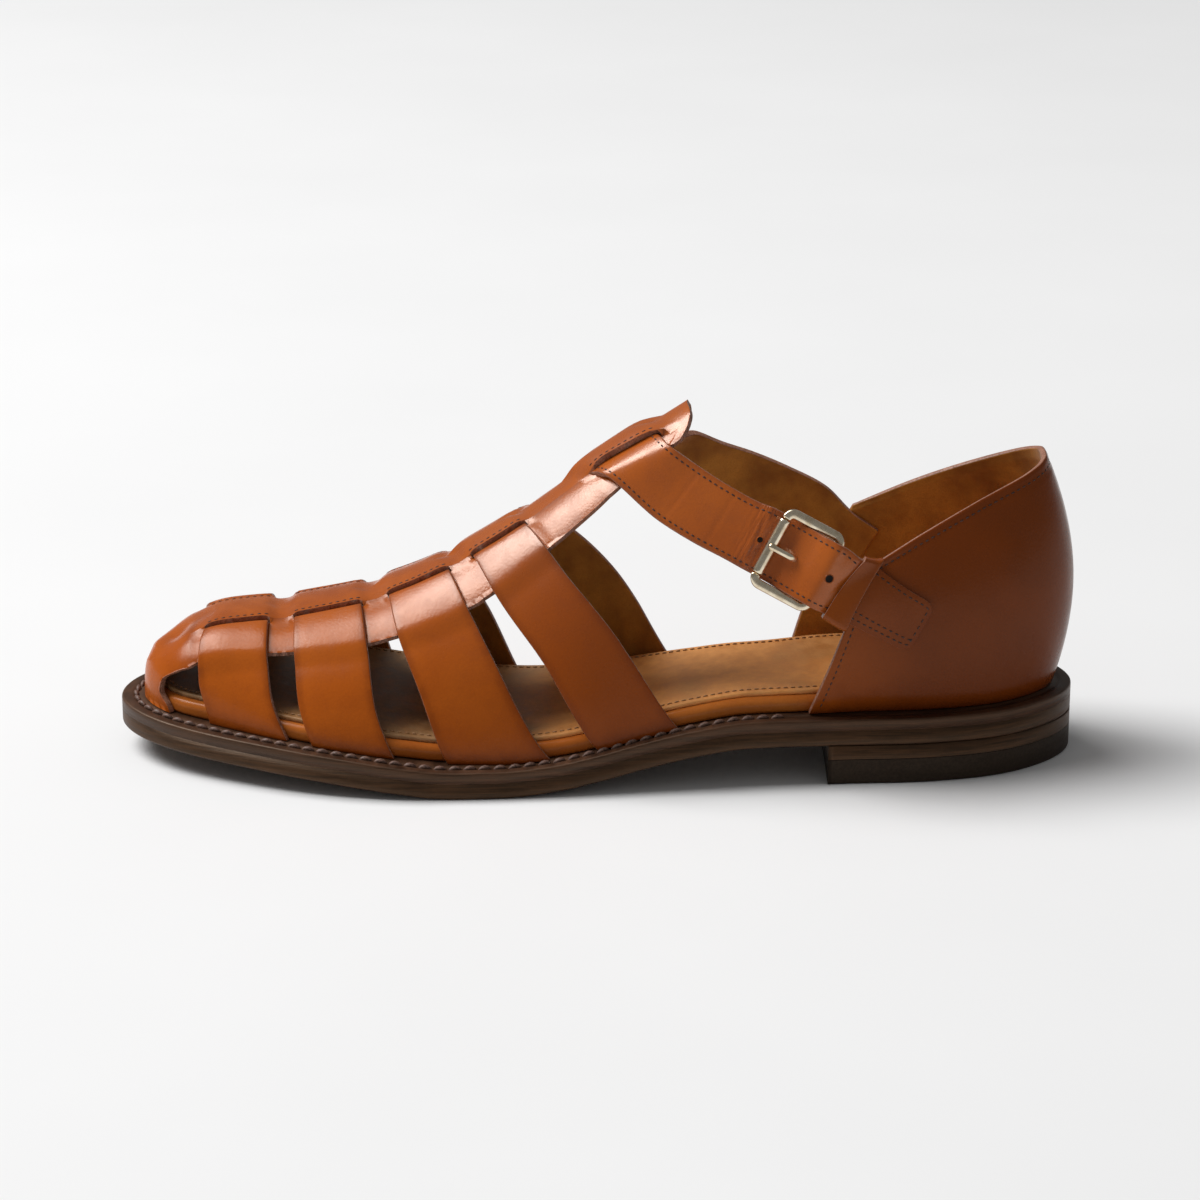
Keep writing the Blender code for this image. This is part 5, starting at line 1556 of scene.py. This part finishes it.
class Tree:
    """A material's nodes. Textures are placed in metres, in the shoe's own frame."""

    def __init__(self, name):
        self.look = bpy.data.materials.new(name)
        self.look.use_nodes = True
        self.nodes = self.look.node_tree.nodes
        self.links = self.look.node_tree.links
        self.nodes.clear()
        out = self.nodes.new("ShaderNodeOutputMaterial")
        self.shader = self.nodes.new("ShaderNodeBsdfPrincipled")
        self.links.new(self.shader.outputs["BSDF"], out.inputs["Surface"])
        self.place = self.nodes.new("ShaderNodeTexCoord").outputs["Object"]

    def put(self, socket, value):
        if isinstance(value, bpy.types.NodeSocket):
            self.links.new(value, socket)
        else:
            socket.default_value = value

    def set(self, **values):
        for key, value in values.items():
            self.put(self.shader.inputs[key.replace("_", " ")], value)

    def moved(self, stretch):
        node = self.nodes.new("ShaderNodeMapping")
        self.put(node.inputs["Vector"], self.place)
        node.inputs["Scale"].default_value = stretch
        return node.outputs["Vector"]

    def noise(self, scale, detail=2.0, rough=0.5, stretch=None, place=None):
        node = self.nodes.new("ShaderNodeTexNoise")
        if place is None:
            place = self.moved(stretch) if stretch else self.place
        self.put(node.inputs["Vector"], place)
        node.inputs["Scale"].default_value = scale
        node.inputs["Detail"].default_value = detail
        node.inputs["Roughness"].default_value = rough
        return node.outputs[0]

    def cells(self, scale):
        node = self.nodes.new("ShaderNodeTexVoronoi")
        node.feature = "SMOOTH_F1"
        self.put(node.inputs["Vector"], self.place)
        node.inputs["Scale"].default_value = scale
        return node.outputs["Distance"]

    def math(self, kind, a, b=0.0):
        node = self.nodes.new("ShaderNodeMath")
        node.operation = kind
        self.put(node.inputs[0], a)
        self.put(node.inputs[1], b)
        return node.outputs[0]

    def times(self, a, b):
        return self.math("MULTIPLY", a, b)

    def held(self, value, high):
        """The value, held between 0 and the high one."""
        return self.math("MINIMUM", self.math("MAXIMUM", value, 0.0), high)

    def span(self, value, low, high, to_low=0.0, to_high=1.0):
        node = self.nodes.new("ShaderNodeMapRange")
        self.put(node.inputs["Value"], value)
        for key, number in (("From Min", low), ("From Max", high), ("To Min", to_low), ("To Max", to_high)):
            node.inputs[key].default_value = number
        return node.outputs["Result"]

    def mix(self, share, a, b):
        node = self.nodes.new("ShaderNodeMix")
        node.data_type = "RGBA"
        node.blend_type = "MIX"
        self.put(node.inputs["Factor"], share)
        for key, value in (("A", a), ("B", b)):
            socket = [s for s in node.inputs if s.name == key and s.type == "RGBA"][0]
            self.put(socket, (*value, 1.0) if isinstance(value, tuple) else value)
        return [s for s in node.outputs if s.type == "RGBA"][0]

    def tone(self, name):
        node = self.nodes.new("ShaderNodeAttribute")
        node.attribute_name = name
        return node.outputs["Fac"]

    def where(self, axis):
        node = self.nodes.new("ShaderNodeSeparateXYZ")
        self.put(node.inputs[0], self.place)
        return node.outputs[axis]

    def bump(self, height, strength, distance, below=None):
        node = self.nodes.new("ShaderNodeBump")
        node.inputs["Strength"].default_value = strength
        node.inputs["Distance"].default_value = distance
        self.put(node.inputs["Height"], height)
        if below is not None:
            self.put(node.inputs["Normal"], below)
        return node.outputs["Normal"]


# How far down the strap the fine creases before the roller lie
CREASE_PLACE = 0.0625
# The sheen grows over these heights, from its value at the sole
SHEEN_HEIGHTS = (0.030, 0.072)
SHEEN_AT_SOLE = 0.16


def smooth_leather(name, light, middle, dark, edge_dark, gloss=0.24, painted_shade=None, creased=False, sheen=0.85):
    """Pull-up leather: soft cloudy colour, fine grain and pores, darker worked edges. Over a given range
    of places the colour darkens to a deeper tone, which is painted shade. The sheen fades towards the sole."""
    tree = Tree(name)
    cloud = tree.noise(26, 2.0, 0.5)
    mottle = tree.noise(170, 4.0, 0.6)
    fine = tree.noise(1500, 2.0, 0.5)
    colour = tree.mix(tree.span(cloud, 0.34, 0.66), middle, light)
    colour = tree.mix(tree.times(tree.span(mottle, 0.42, 0.70), 0.22), colour, dark)
    colour = tree.mix(tree.times(tree.span(fine, 0.45, 0.75), 0.14), colour, dark)
    # Painted shade: the colour darkens over the given range of places, its start a little cloudy.
    if painted_shade:
        place, low, high, deep, amount = painted_shade
        height = tree.span(tree.where(place), low, high)
        height = tree.held(tree.math("ADD", height, tree.span(cloud, 0.3, 0.7, -0.14, 0.14)), 1.0)
        colour = tree.mix(tree.times(height, amount), colour, deep)
    worked = tree.times(tree.tone("edge"), tree.span(mottle, 0.30, 0.60, 0.25, 0.60))
    colour = tree.mix(worked, colour, edge_dark)
    rough = tree.span(mottle, 0.3, 0.7, gloss - 0.04, gloss + 0.08)
    normal = tree.bump(tree.noise(90, 2.0, 0.5), 0.10, 0.0008)
    if creased:
        flow = tree.nodes.new("ShaderNodeCombineXYZ")
        tree.put(flow.inputs[0], tree.tone("along"))
        tree.put(flow.inputs[1], tree.times(tree.tone("across"), 0.16))
        lines = tree.noise(900, 3.0, place=flow.outputs[0])
        near = tree.math("ABSOLUTE", tree.math("SUBTRACT", tree.tone("along"), CREASE_PLACE))
        near = tree.span(near, 0.0005, 0.0065, 1.0, 0.0)
        normal = tree.bump(tree.times(lines, near), 0.9, 0.0007, normal)
        shade = tree.times(near, tree.span(lines, 0.45, 0.62, 0.0, 0.55))
        colour = tree.mix(shade, colour, edge_dark)
    normal = tree.bump(tree.cells(1250), 0.22, 0.00012, normal)
    normal = tree.bump(fine, 0.2, 0.00005, normal)
    tree.set(Base_Color=colour, Roughness=rough, Normal=normal, Specular_Tint=(1.0, 0.82, 0.71, 1.0))
    tree.set(Specular_IOR_Level=tree.span(tree.where("Z"), *SHEEN_HEIGHTS, SHEEN_AT_SOLE, sheen))
    tree.set(Coat_Weight=0.06, Coat_Roughness=0.20, Coat_IOR=1.4, Coat_Tint=(1.0, 0.9, 0.8, 1.0))
    return tree.look


def cut_edge(name, pale, dark):
    tree = Tree(name)
    fibre = tree.noise(1600, 3.0, 0.6)
    band = tree.noise(150, 2.0, 0.5)
    colour = tree.mix(tree.span(fibre, 0.35, 0.68), pale, dark)
    colour = tree.mix(tree.times(tree.span(band, 0.4, 0.65), 0.5), colour, dark)
    normal = tree.bump(fibre, 0.35, 0.00012)
    tree.set(Base_Color=colour, Roughness=tree.span(fibre, 0.3, 0.7, 0.42, 0.62), Normal=normal)
    tree.set(Coat_Weight=0.08, Coat_Roughness=0.35)
    return tree.look


def nap(name, pale, deep, bump=0.4):
    """The suede side: short fibres, no gloss, brushed patches."""
    tree = Tree(name)
    brushed = tree.noise(55, 3.0, 0.6, (1.0, 1.8, 0.8))
    fibre = tree.noise(1900, 3.0, 0.7)
    colour = tree.mix(tree.span(brushed, 0.35, 0.65), deep, pale)
    colour = tree.mix(tree.times(tree.span(fibre, 0.42, 0.7), 0.35), colour, deep)
    normal = tree.bump(fibre, bump, 0.0002)
    tree.set(Base_Color=colour, Roughness=tree.span(fibre, 0.3, 0.7, 0.78, 0.95), Normal=normal)
    tree.set(Sheen_Weight=0.25, Sheen_Roughness=0.45, Specular_IOR_Level=0.25)
    return tree.look


def thread(name, colour, dark):
    tree = Tree(name)
    twist = tree.noise(1400, 2.0, 0.6, (1.0, 2.4, 1.0))
    shade = tree.mix(tree.span(twist, 0.35, 0.65), dark, colour)
    normal = tree.bump(twist, 0.5, 0.00015)
    tree.set(Base_Color=shade, Roughness=tree.span(twist, 0.3, 0.7, 0.45, 0.7), Normal=normal)
    tree.set(Coat_Weight=0.12, Coat_Roughness=0.35)
    return tree.look


def stacked_leather(name, light, dark, gloss, coat, lines=1.0):
    """Edge-dressed sole leather: thin level striations, waxed."""
    tree = Tree(name)
    layers = tree.noise(170, 4.0, 0.65, (0.35, 0.35, 9.0))
    cloud = tree.noise(45, 3.0, 0.6)
    speck = tree.noise(900, 3.0, 0.6)
    colour = tree.mix(tree.span(layers, 0.38, 0.64), dark, light)
    colour = tree.mix(tree.times(tree.span(cloud, 0.4, 0.7), 0.5), colour, dark)
    colour = tree.mix(tree.times(tree.span(speck, 0.5, 0.75), 0.25), colour, light)
    normal = tree.bump(layers, 0.35 * lines, 0.00035)
    normal = tree.bump(speck, 0.25, 0.0001, normal)
    rough = tree.span(layers, 0.3, 0.7, gloss - 0.06, gloss + 0.12)
    tree.set(Base_Color=colour, Roughness=rough, Normal=normal, Specular_Tint=(1.0, 0.68, 0.45, 1.0))
    tree.set(Coat_Weight=coat, Coat_Roughness=0.28)
    return tree.look


def rubber(name, light, dark):
    tree = Tree(name)
    grit = tree.noise(1200, 4.0, 0.65)
    scuff = tree.noise(90, 4.0, 0.7, (0.6, 0.6, 3.0))
    colour = tree.mix(tree.span(grit, 0.4, 0.7), dark, light)
    colour = tree.mix(tree.times(tree.span(scuff, 0.52, 0.7), 0.4), colour, light)
    normal = tree.bump(grit, 0.35, 0.00015)
    tree.set(Base_Color=colour, Roughness=tree.span(scuff, 0.3, 0.7, 0.5, 0.72), Normal=normal)
    tree.set(Specular_Tint=(1.0, 0.75, 0.55, 1.0), Specular_IOR_Level=0.4)
    return tree.look


def insole_leather(name):
    """Tan sock leather, turning a darker grey olive towards the forefoot."""
    tree = Tree(name)
    cloud = tree.noise(30, 4.0, 0.6)
    mottle = tree.noise(240, 4.0, 0.65)
    fine = tree.noise(1500, 3.0, 0.6)
    along = tree.where("X")
    colour = tree.mix(tree.span(mottle, 0.35, 0.65), (0.68, 0.27, 0.068), (0.82, 0.36, 0.105))
    # Darker and greyer towards the forefoot, over cloudy patches.
    forefoot_grey = tree.span(along, 0.008, -0.03)
    forefoot_grey = tree.held(tree.math("ADD", forefoot_grey, tree.span(cloud, 0.45, 0.62, -0.25, 0.25)), 0.9)
    grey = tree.mix(tree.span(mottle, 0.38, 0.66), (0.16, 0.085, 0.036), (0.28, 0.165, 0.08))
    colour = tree.mix(forefoot_grey, colour, grey)
    normal = tree.bump(mottle, 0.2, 0.0004)
    normal = tree.bump(fine, 0.3, 0.00009, normal)
    tree.set(Base_Color=colour, Roughness=tree.span(mottle, 0.3, 0.7, 0.42, 0.62), Normal=normal)
    tree.set(Coat_Weight=0.06, Coat_Roughness=0.4, Specular_Tint=(1.0, 0.85, 0.68, 1.0))
    return tree.look


def metal(name):
    """Pale gold plating with fine polishing lines, dimmed in places."""
    tree = Tree(name)
    brushed = tree.noise(900, 2.0, 0.5, (1.0, 6.0, 1.0))
    dim = tree.noise(260, 3.0, 0.6)
    colour = tree.mix(tree.span(dim, 0.4, 0.68), (0.88, 0.78, 0.60), (0.66, 0.53, 0.36))
    rough = tree.span(dim, 0.3, 0.7, 0.13, 0.26)
    tree.set(Base_Color=colour, Metallic=1.0, Roughness=rough, Normal=tree.bump(brushed, 0.05, 0.00002))
    return tree.look


def floor_look(name):
    tree = Tree(name)
    faint = tree.noise(6, 3.0, 0.5)
    colour = tree.mix(tree.span(faint, 0.3, 0.7), (0.84, 0.84, 0.84), (0.86, 0.86, 0.86))
    tree.set(Base_Color=colour, Roughness=0.75, Specular_IOR_Level=0.2)
    return tree.look


COGNAC = ((0.47, 0.108, 0.010), (0.39, 0.080, 0.006), (0.24, 0.042, 0.003), (0.15, 0.026, 0.003))
FOOTBED_TAN = ((0.50, 0.15, 0.025), (0.42, 0.11, 0.016), (0.26, 0.055, 0.006), (0.20, 0.04, 0.006))
# Painted shade: axis, start, end, deep colour and amount. The bands darken towards the heel, and the counter,
# tab, keeper and hole rims towards the back, where shade falls on them.
BAND_PAINTED_SHADE = ("X", -0.055, 0.01, (0.22, 0.042, 0.003), 0.80)
COUNTER_PAINTED_SHADE = ("X", 0.03, 0.10, (0.13, 0.026, 0.003), 0.92)
TAB_PAINTED_SHADE = ("X", 0.03, 0.09, (0.14, 0.028, 0.003), 0.85)
looks = {
    # The bands, the counter and the tab leather get painted shade towards the heel.
    "upper": smooth_leather("cognac leather", *COGNAC, painted_shade=BAND_PAINTED_SHADE),
    "toe": smooth_leather("cognac toe leather", *COGNAC),
    "strap": smooth_leather("cognac strap leather", *COGNAC, creased=True),
    "counter": smooth_leather("cognac counter leather", *COGNAC, painted_shade=COUNTER_PAINTED_SHADE, sheen=0.22),
    "chape": smooth_leather("cognac tab leather", *COGNAC, painted_shade=TAB_PAINTED_SHADE, sheen=0.3),
    "cut": cut_edge("cut leather edge", (0.42, 0.20, 0.13), (0.16, 0.055, 0.025)),
    "suede": nap("suede lining", (0.52, 0.225, 0.035), (0.24, 0.085, 0.012)),
    "welt": stacked_leather("welt leather", (0.075, 0.032, 0.016), (0.024, 0.010, 0.005), 0.46, 0.06, 0.5),
    "sole": stacked_leather("dressed sole leather", (0.075, 0.033, 0.014), (0.020, 0.009, 0.004), 0.46, 0.05),
    "rubber": rubber("dark rubber", (0.020, 0.013, 0.009), (0.008, 0.005, 0.004)),
    "footbed": smooth_leather("footbed wrap leather", *FOOTBED_TAN),
    "insole": insole_leather("sock leather greying forwards"),
    "metal": metal("pale gold metal"),
    "thread": thread("brown thread", (0.070, 0.018, 0.007), (0.022, 0.006, 0.003)),
    "welt thread": thread("welt thread", (0.20, 0.105, 0.075), (0.060, 0.028, 0.018)),
    "sock thread": thread("sock thread", (0.48, 0.26, 0.11), (0.24, 0.10, 0.035)),
    # Near-black: painted shade for the inside of the strap's holes.
    "hole": nap("painted hole shade", (0.012, 0.005, 0.003), (0.005, 0.002, 0.001)),
}


# The pieces


def leather(outside):
    """The looks of a slab's outer face, its cut edge and its back."""
    return [looks[outside], looks["cut"], looks["suede"]]


spine, slot_lines = build_spine(leather("toe"))
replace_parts(spine, "upper")
for number in ("band_1", "band_2", "band_3", "band_4"):
    build_band(number, leather("upper"))
_, strap_lines, strap_grid, strap_normals = build_ankle_strap("outer", leather("strap"))
_, inner_lines, _, _ = build_ankle_strap("inner", leather("strap"))
_, counter_lines = build_counter(leather("counter"))
chape, chape_lines = build_chape(leather("chape"))
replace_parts(chape, "chape")
keeper = build_keeper(leather("chape"))
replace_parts(keeper, "keeper")
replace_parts(build_frame(looks), "buckle_frame")
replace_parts(build_roller(looks), "buckle_roller")
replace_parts(build_prong(looks), "buckle_prong")
build_sole(looks)
for name, node in (
    ("outsole_edge", "outsole"),
    ("welt_strip", "welt"),
    ("stacked_lift", "heel_lift"),
    ("rubber_lift", "top_lift"),
    ("footbed_wrap", "footbed"),
    ("insole_sock", "insole"),
):
    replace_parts(bpy.data.objects[name], node)

hole_looks = {"upper": looks["chape"], "hole": looks["hole"]}
for name, along, radius in (
    ("strap_hole", HOLE_AFTER, 1.15 * MM),
    ("strap_hole_front", HOLE_BEFORE, 0.85 * MM),
):
    build_hole(name, strap_grid, strap_normals, along, radius, hole_looks)
FINE_THREAD = {"pitch": 2.0 * MM, "length": 1.25 * MM, "width": 0.46 * MM, "height": 0.15 * MM, "sink": 0.4}
for name, lines in (
    ("slot_stitches", slot_lines),
    ("strap_stitches", strap_lines),
    ("inner_strap_stitches", inner_lines),
    ("counter_stitches", counter_lines),
    ("chape_stitches", chape_lines),
):
    stitches(name, lines, looks["thread"], "upper leather", **FINE_THREAD)

# Floor, light and camera

mesh = bpy.data.meshes.new("floor")
mesh.from_pydata([(-6, -4, 0), (6, -4, 0), (6, 8, 0), (-6, 8, 0)], [], [(0, 1, 2, 3)])
floor = bpy.data.objects.new("floor", mesh)
mesh.materials.append(floor_look("pale floor"))
bpy.context.scene.collection.objects.link(floor)


def aim(made, place, target):
    place = np.array(place, float)
    back = unit(place - np.array(target, float))
    side = unit(np.cross((0.0, 0.0, 1.0), back))
    up = np.cross(back, side)
    turned = [[side[i], up[i], back[i], place[i]] for i in range(3)] + [[0, 0, 0, 1]]
    made.matrix_world = type(made.matrix_world)(turned)


def place_light(name, kind, place, power):
    light = bpy.data.lights.new(name, kind)
    light.energy = power
    made = bpy.data.objects.new(name, light)
    bpy.context.scene.collection.objects.link(made)
    aim(made, place, (0.0, 0.0, 0.0))
    return light


KEY_PLACE = (-1.60, 0.35, 2.0)
KEY_POWER = 43.0
KEY_SIDE = 1.30
WIDE_PLACE = (-1.2, 0.45, 2.3)
WIDE_POWER = 1.5
WIDE_ANGLE = 38
ROOM_LIGHT = 0.20
key = place_light("key_light", "AREA", KEY_PLACE, KEY_POWER)
key.shape = "RECTANGLE"
key.size = KEY_SIDE
key.size_y = KEY_SIDE
wide = place_light("wide_light", "SUN", WIDE_PLACE, WIDE_POWER)
wide.angle = math.radians(WIDE_ANGLE)
world = bpy.data.worlds.new("soft_room")
world.use_nodes = True
sky = world.node_tree.nodes["Background"].inputs
sky["Color"].default_value = (1.0, 1.0, 1.0, 1.0)
sky["Strength"].default_value = ROOM_LIGHT
bpy.context.scene.world = world
bpy.context.scene.view_settings.view_transform = "Standard"

# The place of the photo's camera, turned to put the one shoe in the middle, with a longer lens
CAMERA_PLACE = (0.0012, -1.10691, 0.43334)
CAMERA_TARGET = (0.0012, 0.0, 0.046)
CAMERA_LENS = 116.0
camera_data = bpy.data.cameras.new("camera")
camera_data.sensor_width = 36.0
camera_data.lens = CAMERA_LENS
camera_data.clip_start = 0.01
camera_data.clip_end = 50.0
camera = bpy.data.objects.new("camera", camera_data)
bpy.context.scene.collection.objects.link(camera)
aim(camera, CAMERA_PLACE, CAMERA_TARGET)
bpy.context.scene.camera = camera
